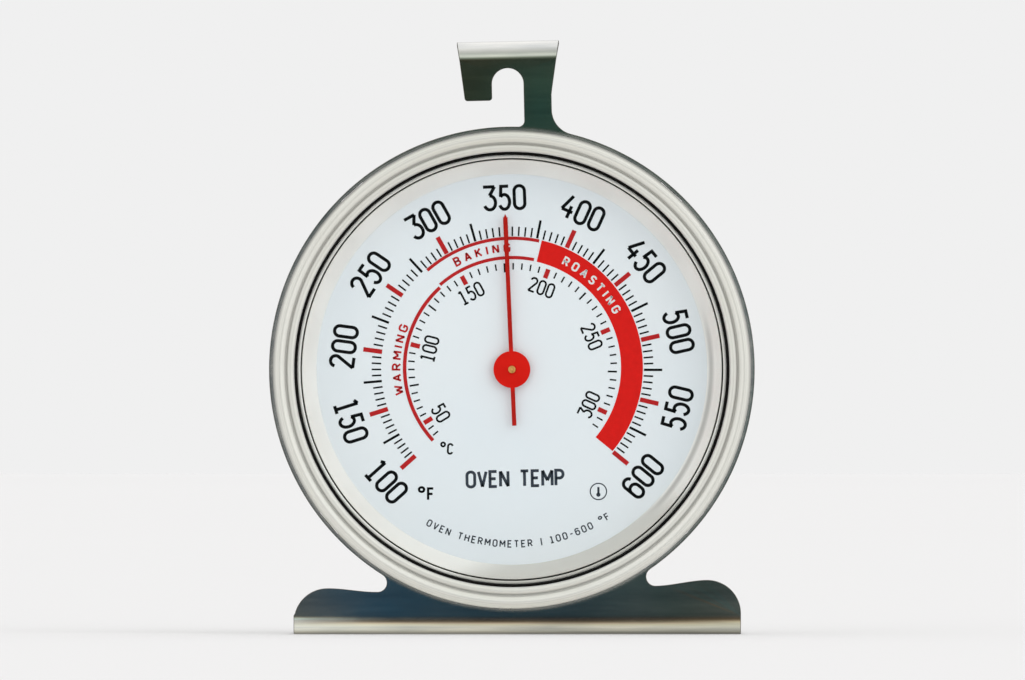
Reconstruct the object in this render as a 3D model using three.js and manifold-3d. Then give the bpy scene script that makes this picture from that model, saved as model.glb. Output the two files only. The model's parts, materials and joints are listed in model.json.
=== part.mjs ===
// A dial oven thermometer. A drawn steel pan holds a bimetal coil that turns a red pointer over a
// printed dial. The pan sits in a stamped plate whose top is a hook for an oven rack wire and whose
// bottom is folded back into a foot. A crimped bezel holds the glass, and its four tabs pass through
// the plate and are bent over behind it.
//
// Millimetres and degrees. +X is to the reader's right, +Y towards the back and +Z up. The part's
// origin is on the surface it stands on, in the middle of its box. The pieces are drawn about the
// point where the dial axis meets the front face of the plate, so y is the depth behind that face.
import * as THREE from "three";
import { mergeVertices } from "three/addons/utils/BufferGeometryUtils.js";
import Module from "manifold-3d";

const wasm = await Module();
wasm.setup();

// Whole object
const AXIS_HEIGHT = 50.35; // dial axis above the surface it stands on
const FRONT_DEPTH = 4.7; // from the plate's front face to the bezel's crown
const FOOT_DEPTH = 40; // from the plate's front face to the foot's rear edge
const SKEW = 1.26; // the plate leans this much anticlockwise of its foot's fold
const GAP = 0.05; // between faces that rest on each other
const FIT = 0.03; // radial gap of a pressed or riveted fit

// Plate with its hook and foot
const PLATE = 0.8; // sheet thickness
const RIM_R = 46.17;
const PLATE_HOLE_R = 41.7;
const FOLD_R = 3.6; // outer radius of the two folds
const WING = { halfWidth: 42.5, top: -40.8, cornerR: 6.4 };
const NOTCH = { r: 1.75, z: -39.95 };
const FOOT_CORNER_R = 6;
const HOOK = {
  top: 62.4,
  flange: 4, // flat length behind the top fold
  flangeCornerR: 1.2,
  stemX: 8.68, // right edge of the stem, above its fillet
  stemKneeX: 8.85,
  stemKneeZ: 53.3,
  stemTaper: 0.16, // right edge's run to the right for each millimetre up, above the knee
  legX: -7.8, // left edge of the leg at its lower end
  legTaper: 0.114,
  legBottom: 51.15,
  legCornerR: 0.6,
  slotX: 0.4, // middle of the slot for the rack wire
  slotR: 3,
  slotZ: 54.25, // centre of the slot's round top
  rootR: 1.15, // fillet between the slot's side and the rim
  shoulderR: 4.8, // fillet between the stem and the rim
};

// Pan
const SHEET = 0.45; // sheet thickness of the pan and the bezel
const PAN_R = 41.4; // front stage
const PAN_REAR_R = 38.95; // rear stage, outside
const PAN_SHOULDER_Y = 3.7; // inside face of the step that carries the dial
const PAN_BACK_Y = 14.5; // inside face of the back
const PAN_FLANGE_R = 44.3;
const PAN_CORNER_R = 1.6;
const VENT = { count: 6, innerR: 27.5, outerR: 30.5, halfAngle: 17 };

// Bezel, gasket, glass, spacer and dial
const BEZEL_R = 45.4;
const LIP_R = 41.25;
const INNER_BEAD = { r: 41.95, y: -3.55, radius: 0.7 };
const OUTER_BEAD = { r: 44.05, y: -3.35, radius: 1.35 };
const BEAD_STEP = 30;
const TAB = { width: 5, bentTo: 42.6, angles: [42, 130, 230, 318] };
const GLASS = { r: 43.4, front: -2.3, rear: -0.5 };
const GASKET = { innerR: 40.75, outerR: 43.4, thick: 0.45 };
const SPACER = { topR: 39.75, bottomR: 37.1, outerR: 40.75, thick: 0.5 };
const DIAL = { r: 40.7, front: 3.2, thick: 0.45, holeR: 2 };

// Pointer and its movement
const POINTER_REST = -2.5; // degrees clockwise of the top of the dial, at 350 degrees Fahrenheit
const NEEDLE = { length: 29.6, tail: 10.7, width: 0.82, point: 0.9 };
const HUB = { r: 3.5, front: 1.6, thick: 0.4 };
const STAFF = { r: 0.7, front: 1.2, rear: 14.95, grooveR: 0.5, grooveY: 4.55, grooveWidth: 0.55 };
const BORE_R = 0.78; // running bore of both bearing bushes
const BRIDGE = { front: 5.6, thick: 0.8, halfSpan: 17.8, footEnd: 25, halfWidth: 3.5 };
const RIVET = { x: 21, r: 1.1 };
const BUSH = { r: 1.55, flangeR: 2.4 };
const COIL = { innerR: 2.6, outerR: 12.5, turns: 4.5, strip: 0.3, front: 7.75, width: 3 };
const COLLET = { r: 2.2, front: 7.4, rear: 11.1 };
const WASHER = { r: 2, thick: 0.3 };
const POST = { z: 16.5, r: 1.5, front: 7, tailR: 1 };
const SLIT = 0.42; // slits in the collet and the post, for the ends of the coil

const RIM_STEP = 5; // degrees between the corners of a large round outline
const SMALL_STEP = 15; // and of a small one
const RIM_SEGMENTS = 360 / RIM_STEP;
const SMALL_SEGMENTS = 360 / SMALL_STEP;
const radians = THREE.MathUtils.degToRad;

// ---- Outlines: lists of [x, y] points -------------------------------------------------------

// Points on an arc from one angle to another, in degrees, both ends included.
function arc(x, y, r, from, to, step = SMALL_STEP) {
  const steps = Math.max(1, Math.round(Math.abs(to - from) / step));
  return Array.from({ length: steps + 1 }, (_, i) => {
    const a = radians(from + ((to - from) * i) / steps);
    return [x + r * Math.cos(a), y + r * Math.sin(a)];
  });
}

const circle = (x, y, r, step = SMALL_STEP) => arc(x, y, r, 0, 360, step).slice(0, -1);

const rotated = (points, degrees) => {
  const [c, s] = [Math.cos(radians(degrees)), Math.sin(radians(degrees))];
  return points.map(([x, y]) => [x * c - y * s, x * s + y * c]);
};

const shapeOf = (points) => new THREE.Shape(points.map(([x, y]) => new THREE.Vector2(x, y)));

// ---- Solids ---------------------------------------------------------------------------------

const extruded = (points, depth) =>
  new THREE.ExtrudeGeometry(shapeOf(points), { depth, bevelEnabled: false });

// An outline in X and Z, from y0 back to y1.
function acrossY(points, y0, y1) {
  const turn = new THREE.Matrix4().set(1, 0, 0, 0, 0, 0, -1, y1, 0, 1, 0, 0, 0, 0, 0, 1);
  return extruded(points, y1 - y0).applyMatrix4(turn);
}

// An outline in Y and Z, from x0 to x1.
function acrossX(points, x0, x1) {
  const turn = new THREE.Matrix4().set(0, 0, 1, x0, 1, 0, 0, 0, 0, 1, 0, 0, 0, 0, 0, 1);
  return extruded(points, x1 - x0).applyMatrix4(turn);
}

// An outline in X and Y, from z0 up to z1.
const acrossZ = (points, z0, z1) => extruded(points, z1 - z0).translate(0, 0, z0);

function box(x0, x1, y0, y1, z0, z1) {
  const geometry = new THREE.BoxGeometry(x1 - x0, y1 - y0, z1 - z0);
  return geometry.translate((x0 + x1) / 2, (y0 + y1) / 2, (z0 + z1) / 2);
}

// A flat ring or, with an inner radius of nothing, a disc: closed, between two depths.
const washer = (innerR, outerR, front, rear, segments) =>
  turned([[innerR, front], [outerR, front], [outerR, rear], [innerR, rear]], segments);

// A profile of [radius, y] points turned about the Y axis. It runs with the metal on its left, and
// either starts and ends on the axis or is closed here.
function turned(profile, segments = SMALL_SEGMENTS) {
  const onAxis = profile[0][0] === 0;
  const points = onAxis ? profile : [...profile, profile[0]];
  return new THREE.LatheGeometry(shapeOf(points).getPoints(), segments);
}

function solidOf(geometry) {
  const bare = geometry.clone().deleteAttribute("normal").deleteAttribute("uv");
  const merged = mergeVertices(bare, 1e-4);
  return new wasm.Manifold(
    new wasm.Mesh({
      numProp: 3,
      vertProperties: merged.attributes.position.array,
      triVerts: new Uint32Array(merged.index.array),
    }),
  );
}

function geometryOf(solid) {
  const { vertProperties, triVerts } = solid.getMesh();
  return new THREE.BufferGeometry()
    .setAttribute("position", new THREE.BufferAttribute(vertProperties, 3))
    .setIndex(new THREE.BufferAttribute(triVerts, 1));
}

const joined = (first, ...others) =>
  geometryOf(others.reduce((whole, geometry) => whole.add(solidOf(geometry)), solidOf(first)));

const cut = (first, ...tools) =>
  geometryOf(tools.reduce((whole, geometry) => whole.subtract(solidOf(geometry)), solidOf(first)));

const common = (first, second) => geometryOf(solidOf(first).intersect(solidOf(second)));

// ---- Materials ------------------------------------------------------------------------------

const metal = (color, roughness) => new THREE.MeshStandardMaterial({ color, roughness, metalness: 1 });
const MATERIALS = {
  polishedSteel: metal(0x9a9c9a, 0.18),
  satinSteel: metal(0xc9c7c0, 0.32),
  aluminium: metal(0xd8d4cc, 0.38),
  brass: metal(0xc79a4b, 0.35),
  bimetal: metal(0x8d8578, 0.4),
  white: new THREE.MeshStandardMaterial({ color: 0xe6ebef, roughness: 0.45 }),
  red: new THREE.MeshStandardMaterial({ color: 0xc9201b, roughness: 0.4 }),
  black: new THREE.MeshStandardMaterial({ color: 0x141312, roughness: 0.8 }),
  glass: new THREE.MeshStandardMaterial({
    color: 0xffffff,
    roughness: 0.03,
    transparent: true,
    opacity: 0.2,
  }),
};

// ---- Plate, hook and foot -------------------------------------------------------------------

// x of the stem's right edge and of the leg's left edge at a height above the dial axis
const stemEdge = (z) => HOOK.stemKneeX + HOOK.stemTaper * (z - HOOK.stemKneeZ);
const legEdge = (z) => HOOK.legX - HOOK.legTaper * (z - HOOK.legBottom);

// Height of the centre of a fillet that touches the rim from outside, at a given x.
const filletZ = (x, r) => Math.sqrt((RIM_R + r) ** 2 - x ** 2);
const degreesOf = (x, y) => THREE.MathUtils.radToDeg(Math.atan2(y, x));

// The hook's outline, from the stem's shoulder on the right to the slot's root on the left.
function hookOutline(top) {
  const shoulderX = HOOK.stemX + HOOK.shoulderR;
  const shoulderZ = filletZ(shoulderX, HOOK.shoulderR);
  const slotRight = HOOK.slotX + HOOK.slotR;
  const slotLeft = HOOK.slotX - HOOK.slotR;
  const rootX = slotRight - HOOK.rootR;
  const rootZ = filletZ(rootX, HOOK.rootR);
  const cornerZ = HOOK.legBottom + HOOK.legCornerR;
  return [
    ...arc(shoulderX, shoulderZ, HOOK.shoulderR, 180 + degreesOf(shoulderX, shoulderZ), 180, 8),
    [HOOK.stemKneeX, HOOK.stemKneeZ],
    [stemEdge(top), top],
    [legEdge(top), top],
    ...arc(legEdge(cornerZ) + HOOK.legCornerR, cornerZ, HOOK.legCornerR, 180, 270, 30),
    ...arc(slotLeft - HOOK.legCornerR, cornerZ, HOOK.legCornerR, 270, 360, 30),
    ...arc(HOOK.slotX, HOOK.slotZ, HOOK.slotR, 180, 0, 12),
    ...arc(rootX, rootZ, HOOK.rootR, 360, 180 + degreesOf(rootX, rootZ), 18),
  ];
}

// The right wing's top edge, from its outer side to the end of its notch. The left wing mirrors it.
function wingOutline() {
  const notchX = Math.sqrt((RIM_R + NOTCH.r) ** 2 - NOTCH.z ** 2);
  const notchFloor = NOTCH.z - NOTCH.r;
  const cornerX = WING.halfWidth - WING.cornerR;
  const cornerZ = WING.top - WING.cornerR;
  const middle = (cornerX + notchX) / 2;
  const slope = new THREE.CubicBezierCurve(
    new THREE.Vector2(cornerX, WING.top),
    new THREE.Vector2(middle, WING.top),
    new THREE.Vector2(middle, notchFloor),
    new THREE.Vector2(notchX, notchFloor),
  );
  return [
    ...arc(cornerX, cornerZ, WING.cornerR, 0, 90, 9),
    ...slope.getPoints(8).slice(1, -1).map((p) => [p.x, p.y]),
    ...arc(notchX, NOTCH.z, NOTCH.r, 270, 180 - degreesOf(notchX, -NOTCH.z), 18),
  ];
}

function plateOutline(top, bottom) {
  const wing = wingOutline();
  const leftWing = wing.map(([x, z]) => [-x, z]).reverse();
  const hook = hookOutline(top);
  const angleAt = ([x, z]) => (degreesOf(x, z) + 360) % 360;
  const rimFrom = angleAt(wing.at(-1)) - 360;
  return [
    [-WING.halfWidth, bottom],
    [WING.halfWidth, bottom],
    ...wing,
    ...arc(0, 0, RIM_R, rimFrom, angleAt(hook[0]), RIM_STEP).slice(1, -1),
    ...hook,
    ...arc(0, 0, RIM_R, angleAt(hook.at(-1)), angleAt(leftWing[0]), RIM_STEP).slice(1, -1),
    ...leftWing,
  ];
}

// A quarter of a bent sheet about a centre in Y and Z, with a short flat run at its first end so
// that it overlaps the sheet it joins.
const FOLD_OVERLAP = 0.1;
const quarterFold = (y, z, from, to, run) => [
  [0, z + run],
  ...arc(y, z, FOLD_R, from, to, 11.25),
  ...arc(y, z, FOLD_R - PLATE, to, from, 11.25),
  [PLATE, z + run],
];

function hookFlange() {
  const fold = HOOK.top - FOLD_R;
  const bend = acrossX(quarterFold(FOLD_R, fold, 180, 90, -FOLD_OVERLAP), -20, 20);
  const mask = acrossY(
    [
      [legEdge(fold - 1), fold - 1],
      [stemEdge(fold - 1), fold - 1],
      [stemEdge(HOOK.top + 1), HOOK.top + 1],
      [legEdge(HOOK.top + 1), HOOK.top + 1],
    ],
    -1,
    FOLD_R + 1,
  );
  // The taper goes on along the flange, with its edges square to the sheet as the blank's were.
  const arcLength = (FOLD_R * Math.PI) / 2;
  const rear = FOLD_R + HOOK.flange;
  const alongBlank = fold + arcLength + HOOK.flange;
  const left = legEdge(alongBlank) + HOOK.flangeCornerR;
  const right = stemEdge(alongBlank) - HOOK.flangeCornerR;
  const flange = acrossZ(
    [
      [legEdge(HOOK.top), FOLD_R - FOLD_OVERLAP],
      [stemEdge(HOOK.top), FOLD_R - FOLD_OVERLAP],
      ...arc(right, rear - HOOK.flangeCornerR, HOOK.flangeCornerR, 0, 90, 30),
      ...arc(left, rear - HOOK.flangeCornerR, HOOK.flangeCornerR, 90, 180, 30),
    ],
    HOOK.top - PLATE,
    HOOK.top,
  );
  return [common(bend, mask), flange].map((geometry) => geometry.rotateY(radians(-SKEW)));
}

function foot() {
  const fold = FOLD_R - AXIS_HEIGHT;
  const shift = -fold * Math.sin(radians(SKEW));
  const [left, right] = [shift - WING.halfWidth, shift + WING.halfWidth];
  const bend = acrossX(quarterFold(FOLD_R, fold, 180, 270, FOLD_OVERLAP), left, right);
  const sole = acrossZ(
    [
      [left, FOLD_R - FOLD_OVERLAP],
      [right, FOLD_R - FOLD_OVERLAP],
      ...arc(right - FOOT_CORNER_R, FOOT_DEPTH - FOOT_CORNER_R, FOOT_CORNER_R, 0, 90, 11.25),
      ...arc(left + FOOT_CORNER_R, FOOT_DEPTH - FOOT_CORNER_R, FOOT_CORNER_R, 90, 180, 11.25),
    ],
    -AXIS_HEIGHT,
    PLATE - AXIS_HEIGHT,
  );
  return [bend, sole];
}

// A box across a tab at a given angle clockwise from the top, from one radius to another.
const atTab = (angle, halfWidth, r0, r1, y0, y1) =>
  box(-halfWidth, halfWidth, y0, y1, r0, r1).rotateY(radians(angle));

function standFrame() {
  const outline = rotated(plateOutline(HOOK.top - FOLD_R, -AXIS_HEIGHT - 1), SKEW);
  const belowFold = box(-60, 60, -1, 2, -60, FOLD_R - AXIS_HEIGHT);
  const slots = TAB.angles.map((angle) =>
    atTab(angle, TAB.width / 2 + 0.2, BEZEL_R - SHEET - 0.2, BEZEL_R + GAP, -1, 2),
  );
  const hole = acrossY(circle(0, 0, PLATE_HOLE_R, RIM_STEP), -1, 2);
  const plate = cut(acrossY(outline, 0, PLATE), hole, belowFold, ...slots);
  return joined(plate, ...hookFlange(), ...foot());
}

// ---- Case and its cover ---------------------------------------------------------------------

function casePan() {
  const rear = PAN_BACK_Y + SHEET;
  const profile = [
    [PAN_FLANGE_R, -SHEET],
    [PAN_FLANGE_R, -GAP],
    [PAN_R, -GAP],
    [PAN_R, PAN_SHOULDER_Y + SHEET],
    [PAN_REAR_R, PAN_SHOULDER_Y + SHEET],
    ...arc(PAN_REAR_R - PAN_CORNER_R, rear - PAN_CORNER_R, PAN_CORNER_R, 0, 90, 22.5),
    [BUSH.r + FIT, rear],
    [BUSH.r + FIT, PAN_BACK_Y],
    ...arc(PAN_REAR_R - PAN_CORNER_R, rear - PAN_CORNER_R, PAN_CORNER_R - SHEET, 90, 0, 22.5),
    [PAN_REAR_R - SHEET, PAN_SHOULDER_Y],
    [PAN_R - SHEET, PAN_SHOULDER_Y],
    [PAN_R - SHEET, -SHEET],
  ];
  const through = (points) => acrossY(points, PAN_BACK_Y - 1, rear + 1);
  const ventMiddle = (VENT.innerR + VENT.outerR) / 2;
  const ventEndR = (VENT.outerR - VENT.innerR) / 2;
  const vents = Array.from({ length: VENT.count }, (_, i) => {
    const middle = 30 + (i * 360) / VENT.count;
    const [from, to] = [middle - VENT.halfAngle, middle + VENT.halfAngle];
    const endAt = (angle) => arc(0, 0, ventMiddle, angle, angle)[0];
    return through([
      ...arc(0, 0, VENT.outerR, from, to, 8.5),
      ...arc(...endAt(to), ventEndR, to, to + 180, 45).slice(1, -1),
      ...arc(0, 0, VENT.innerR, to, from, 8.5),
      ...arc(...endAt(from), ventEndR, from + 180, from + 360, 45).slice(1, -1),
    ]);
  });
  const rivetHoles = [-RIVET.x, RIVET.x].map((x) => through(circle(x, 0, RIVET.r + FIT)));
  const postHole = through(circle(0, POST.z, POST.tailR + FIT));
  return cut(turned(profile, RIM_SEGMENTS), ...vents, ...rivetHoles, postHole);
}

function bezelRing() {
  const bead = ({ r, y, radius }, from, to, inset) =>
    arc(r, y, radius - inset, from, to, BEAD_STEP);
  const profile = [
    [LIP_R, GLASS.front - GASKET.thick - 2 * GAP],
    ...bead(INNER_BEAD, 180, 340, 0),
    ...bead(OUTER_BEAD, 200, 360, 0),
    [BEZEL_R, -GAP],
    [BEZEL_R - SHEET, -GAP],
    ...bead(OUTER_BEAD, 360, 220, SHEET),
    ...bead(INNER_BEAD, 320, 180, SHEET),
    [LIP_R + SHEET, GLASS.front - GASKET.thick - 2 * GAP],
  ];
  const bend = PLATE + GAP; // the tabs are bent over just behind the plate
  const tabs = TAB.angles.flatMap((angle) => [
    atTab(angle, TAB.width / 2, BEZEL_R - SHEET, BEZEL_R - GAP, -1, bend + SHEET),
    atTab(angle, TAB.width / 2, TAB.bentTo, BEZEL_R - GAP, bend, bend + SHEET),
  ]);
  return joined(turned(profile, RIM_SEGMENTS), ...tabs);
}

const lensGasket = () => {
  const rear = GLASS.front - GAP;
  return washer(GASKET.innerR, GASKET.outerR, rear - GASKET.thick, rear, RIM_SEGMENTS);
};

const glassLens = () => washer(0, GLASS.r, GLASS.front, GLASS.rear, RIM_SEGMENTS);

// A folded ring: a flange under the glass and a cone down to the dial.
function spacerRing() {
  const [top, bottom] = [GLASS.rear + GAP, DIAL.front - GAP];
  return turned(
    [
      [SPACER.bottomR, bottom],
      [SPACER.topR, top],
      [SPACER.outerR, top],
      [SPACER.outerR, top + SPACER.thick],
      [SPACER.topR + 0.3, top + SPACER.thick],
      [SPACER.bottomR + 0.65, bottom],
    ],
    RIM_SEGMENTS,
  );
}

const dialPlate = () =>
  washer(DIAL.holeR, DIAL.r, DIAL.front, DIAL.front + DIAL.thick, RIM_SEGMENTS);

// ---- Movement -------------------------------------------------------------------------------

function bridge() {
  const { front, thick, halfSpan, footEnd, halfWidth } = BRIDGE;
  const rear = PAN_BACK_Y - GAP;
  const half = [
    [halfSpan, front],
    [halfSpan, rear - thick],
    [footEnd, rear - thick],
    [footEnd, rear],
    [halfSpan - thick, rear],
    [halfSpan - thick, front + thick],
  ];
  const hat = [...half, ...half.map(([x, y]) => [-x, y]).reverse()];
  return cut(
    acrossZ(hat, -halfWidth, halfWidth),
    acrossY(circle(0, 0, BUSH.r + FIT), front - 1, front + thick + 1),
    ...[-RIVET.x, RIVET.x].map((x) => acrossY(circle(x, 0, RIVET.r + FIT), rear - 2, rear + 1)),
  );
}

// A rivet through the bridge's foot and the pan's back, drawn about its own axis.
function bridgeRivet() {
  const head = PAN_BACK_Y - 2 * GAP - BRIDGE.thick;
  const tail = PAN_BACK_Y + SHEET + GAP;
  return turned([
    [0, head - 0.65],
    [1.5, head - 0.65],
    [2.1, head],
    [RIVET.r, head],
    [RIVET.r, tail],
    [2, tail],
    [1.5, tail + 0.6],
    [0, tail + 0.6],
  ]);
}

function frontBush() {
  const [front, rear] = [BRIDGE.front - GAP, BRIDGE.front + BRIDGE.thick + GAP];
  return turned([
    [BORE_R, front - 0.4],
    [BUSH.flangeR, front - 0.4],
    [BUSH.flangeR, front],
    [BUSH.r, front],
    [BUSH.r, rear],
    [BUSH.r + 0.5, rear],
    [BUSH.r + 0.5, rear + 0.4],
    [BORE_R, rear + 0.4],
  ]);
}

// The rear bush is blind, so the staff's end turns inside it.
function rearBush() {
  const [front, rear] = [PAN_BACK_Y - GAP, PAN_BACK_Y + SHEET + GAP];
  return turned([
    [0, STAFF.rear + 0.15],
    [BORE_R, STAFF.rear + 0.15],
    [BORE_R, front - 0.55],
    [BUSH.flangeR, front - 0.55],
    [BUSH.flangeR, front],
    [BUSH.r, front],
    [BUSH.r, rear],
    [BUSH.r + 0.75, rear],
    [BUSH.r + 0.75, rear + 0.5],
    [0, rear + 0.5],
  ]);
}

// A flat spiral whose inner end drops into the collet's slit and whose outer end crosses the post.
function bimetalCoil() {
  const steps = COIL.turns * 24;
  const half = COIL.strip / 2;
  const side = (offset) =>
    Array.from({ length: steps + 1 }, (_, i) => {
      const r = COIL.innerR + ((COIL.outerR - COIL.innerR) * i) / steps + offset;
      const a = radians(180 + (COIL.turns * 360 * i) / steps);
      return [r * Math.sin(a), r * Math.cos(a)];
    });
  const spiral = [...side(-half), ...side(half).reverse()];
  const rear = COIL.front + COIL.width;
  return joined(
    acrossY(spiral, COIL.front, rear),
    box(-half, half, COIL.front, rear, -COIL.innerR, -1.2),
    box(-half, half, COIL.front, rear, COIL.outerR, POST.z + POST.r),
  );
}

function coilPost() {
  const [foot, tail] = [PAN_BACK_Y - GAP, PAN_BACK_Y + SHEET + GAP];
  const post = turned([
    [0, POST.front],
    [POST.r, POST.front],
    [POST.r, foot],
    [POST.tailR, foot],
    [POST.tailR, tail],
    [POST.tailR + 0.8, tail],
    [POST.tailR + 0.4, tail + 0.5],
    [0, tail + 0.5],
  ]);
  const slitRear = COIL.front + COIL.width + 0.3;
  return cut(post, box(-SLIT / 2, SLIT / 2, POST.front - 1, slitRear, -POST.r - 1, POST.r + 1));
}

function coilCollet() {
  const ring = washer(STAFF.r + FIT, COLLET.r, COLLET.front, COLLET.rear);
  return cut(ring, box(-SLIT / 2, SLIT / 2, COLLET.front - 1, COLLET.rear + 1, -COLLET.r - 1, -1.05));
}

// A thrust washer between the collet and the front bush.
const thrustWasher = () => {
  const rear = COLLET.front - GAP;
  return washer(STAFF.r + FIT, WASHER.r, rear - WASHER.thick, rear);
};

// The staff has a centre pip in its visible end and a groove for its clip.
const pointerStaff = () => {
  const groove = [STAFF.grooveY, STAFF.grooveY + STAFF.grooveWidth];
  return turned([
    [0, STAFF.front + 0.2],
    [0.18, STAFF.front],
    [STAFF.r - 0.12, STAFF.front],
    [STAFF.r, STAFF.front + 0.12],
    [STAFF.r, groove[0]],
    [STAFF.grooveR, groove[0]],
    [STAFF.grooveR, groove[1]],
    [STAFF.r, groove[1]],
    [STAFF.r, STAFF.rear],
    [0, STAFF.rear],
  ]);
};

// An open clip that snaps into the staff's groove, with its mouth downwards.
const staffClip = () => {
  const mouth = 32;
  const outline = [
    ...arc(0, 0, 1.9, mouth - 90, 270 - mouth, 12),
    ...arc(0, 0, STAFF.grooveR + FIT, 270 - mouth, mouth - 90, 24),
  ];
  return acrossY(outline, STAFF.grooveY + 0.07, STAFF.grooveY + STAFF.grooveWidth - 0.08);
};

function pointer() {
  const { length, tail, width, point } = NEEDLE;
  const [front, rear] = [HUB.front, HUB.front + HUB.thick];
  const half = width / 2;
  const needle = [
    [half, -tail],
    [half, length - point],
    [0, length],
    [-half, length - point],
    [-half, -tail],
  ];
  return cut(
    joined(acrossY(circle(0, 0, HUB.r, 7.5), front, rear), acrossY(needle, front, rear)),
    acrossY(circle(0, 0, STAFF.r + FIT), front - 1, rear + 1),
  );
}

const pointerBush = () => {
  const front = HUB.front + HUB.thick + FIT;
  return washer(STAFF.r + FIT, 1.6, front, front + 0.9);
};

// ---- Assembly -------------------------------------------------------------------------------

function piece(name, geometry, material, x = 0, z = 0) {
  const mesh = new THREE.Mesh(geometry, material);
  mesh.name = name;
  mesh.position.set(x, 0, z);
  return mesh;
}

const M = MATERIALS;
const casing = new THREE.Group().add(
  piece("stand_frame", standFrame(), M.polishedSteel),
  piece("case_pan", casePan(), M.satinSteel),
  piece("bezel_ring", bezelRing(), M.satinSteel),
  piece("lens_gasket", lensGasket(), M.black),
  piece("glass_lens", glassLens(), M.glass),
  piece("spacer_ring", spacerRing(), M.aluminium),
  piece("dial_plate", dialPlate(), M.white),
);

const movement = new THREE.Group().add(
  piece("movement_bridge", bridge(), M.satinSteel),
  piece("bridge_rivet_left", bridgeRivet(), M.satinSteel, -RIVET.x),
  piece("bridge_rivet_right", bridgeRivet(), M.satinSteel, RIVET.x),
  piece("front_bush", frontBush(), M.brass),
  piece("rear_bush", rearBush(), M.brass),
  piece("bimetal_coil", bimetalCoil(), M.bimetal),
  piece("coil_post", coilPost(), M.satinSteel, 0, POST.z),
);

const turningParts = new THREE.Group().add(
  piece("pointer", pointer(), M.red),
  piece("pointer_bush", pointerBush(), M.brass),
  piece("staff_clip", staffClip(), M.satinSteel),
);
turningParts.rotation.y = radians(POINTER_REST);

const staffParts = new THREE.Group().add(
  piece("pointer_staff", pointerStaff(), M.brass),
  piece("coil_collet", coilCollet(), M.brass),
  piece("thrust_washer", thrustWasher(), M.brass),
);

const thermometer = new THREE.Group().add(casing, movement, turningParts, staffParts);
thermometer.position.set(0, FRONT_DEPTH - (FRONT_DEPTH + FOOT_DEPTH) / 2, AXIS_HEIGHT);

export default thermometer;
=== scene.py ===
"""A dial oven thermometer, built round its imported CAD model.

Local sizes are millimetres about the point where the dial axis meets the front face of the plate: x to
the reader's right, d the depth behind that face, and z up. Angles on the dial are degrees clockwise
from its top.
"""

import json
import math

import bmesh
import bpy
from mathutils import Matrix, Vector
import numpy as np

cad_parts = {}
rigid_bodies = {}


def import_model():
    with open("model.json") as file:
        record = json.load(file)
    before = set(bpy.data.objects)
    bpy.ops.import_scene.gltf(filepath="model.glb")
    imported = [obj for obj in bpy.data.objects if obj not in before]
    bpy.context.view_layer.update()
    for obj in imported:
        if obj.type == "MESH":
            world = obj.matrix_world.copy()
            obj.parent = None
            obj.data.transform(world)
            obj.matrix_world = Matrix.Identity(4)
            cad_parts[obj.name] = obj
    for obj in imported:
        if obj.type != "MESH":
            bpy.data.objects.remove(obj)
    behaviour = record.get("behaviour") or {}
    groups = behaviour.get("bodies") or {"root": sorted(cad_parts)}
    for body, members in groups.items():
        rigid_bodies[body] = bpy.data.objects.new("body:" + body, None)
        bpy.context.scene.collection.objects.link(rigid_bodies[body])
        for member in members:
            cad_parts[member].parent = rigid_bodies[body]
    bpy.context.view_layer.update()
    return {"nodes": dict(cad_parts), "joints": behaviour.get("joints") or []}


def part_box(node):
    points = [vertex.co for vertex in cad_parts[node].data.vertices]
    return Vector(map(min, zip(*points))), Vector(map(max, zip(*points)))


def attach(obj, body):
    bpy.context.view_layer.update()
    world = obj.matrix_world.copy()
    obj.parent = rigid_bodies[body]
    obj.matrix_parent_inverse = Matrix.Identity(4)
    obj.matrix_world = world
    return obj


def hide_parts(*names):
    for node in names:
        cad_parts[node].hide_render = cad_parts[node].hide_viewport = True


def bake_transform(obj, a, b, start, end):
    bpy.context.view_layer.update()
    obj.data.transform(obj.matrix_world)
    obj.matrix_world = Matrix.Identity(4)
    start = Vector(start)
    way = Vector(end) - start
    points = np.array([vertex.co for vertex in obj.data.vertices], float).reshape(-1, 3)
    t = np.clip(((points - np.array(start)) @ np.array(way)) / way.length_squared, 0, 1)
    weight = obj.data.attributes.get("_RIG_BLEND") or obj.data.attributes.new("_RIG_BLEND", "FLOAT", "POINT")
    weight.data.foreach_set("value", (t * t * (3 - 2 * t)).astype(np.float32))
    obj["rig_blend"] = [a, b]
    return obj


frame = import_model()

MM = 0.001
JOINT = frame["joints"][0]
HOUSING, POINTER_BODY = JOINT["parent"], JOINT["child"]
ORIGIN = Vector((0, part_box("stand_frame")[0].y, JOINT["pos_m"][2]))
AXIS_HEIGHT = ORIGIN.z / MM


def place(x, d, z):
    return ORIGIN + Vector((x, d, z)) * MM


def depth_span(node):
    """Front and rear depth of a CAD node."""
    low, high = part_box(node)
    return (low.y - ORIGIN.y) / MM, (high.y - ORIGIN.y) / MM


def radius(node):
    low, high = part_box(node)
    return (high.x - low.x) / 2 / MM


# ---- Camera ----

VIEW_WIDTH = 194.75  # what the picture's width takes in at the plate
CAMERA_DISTANCE = 5.0  # metres
CAMERA_RIGHT, CAMERA_UP = 0.12, 5.6  # the picture's middle, from the dial axis

camera = bpy.data.objects.new("camera", bpy.data.cameras.new("camera"))
camera.data.lens = camera.data.sensor_width * CAMERA_DISTANCE / (VIEW_WIDTH * MM)
camera.data.clip_end = 50
camera.location = place(CAMERA_RIGHT, -CAMERA_DISTANCE / MM, CAMERA_UP)
camera.rotation_euler = (math.radians(90), 0, 0)
bpy.context.scene.collection.objects.link(camera)
bpy.context.scene.camera = camera

# ---- Outlines ----


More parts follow.
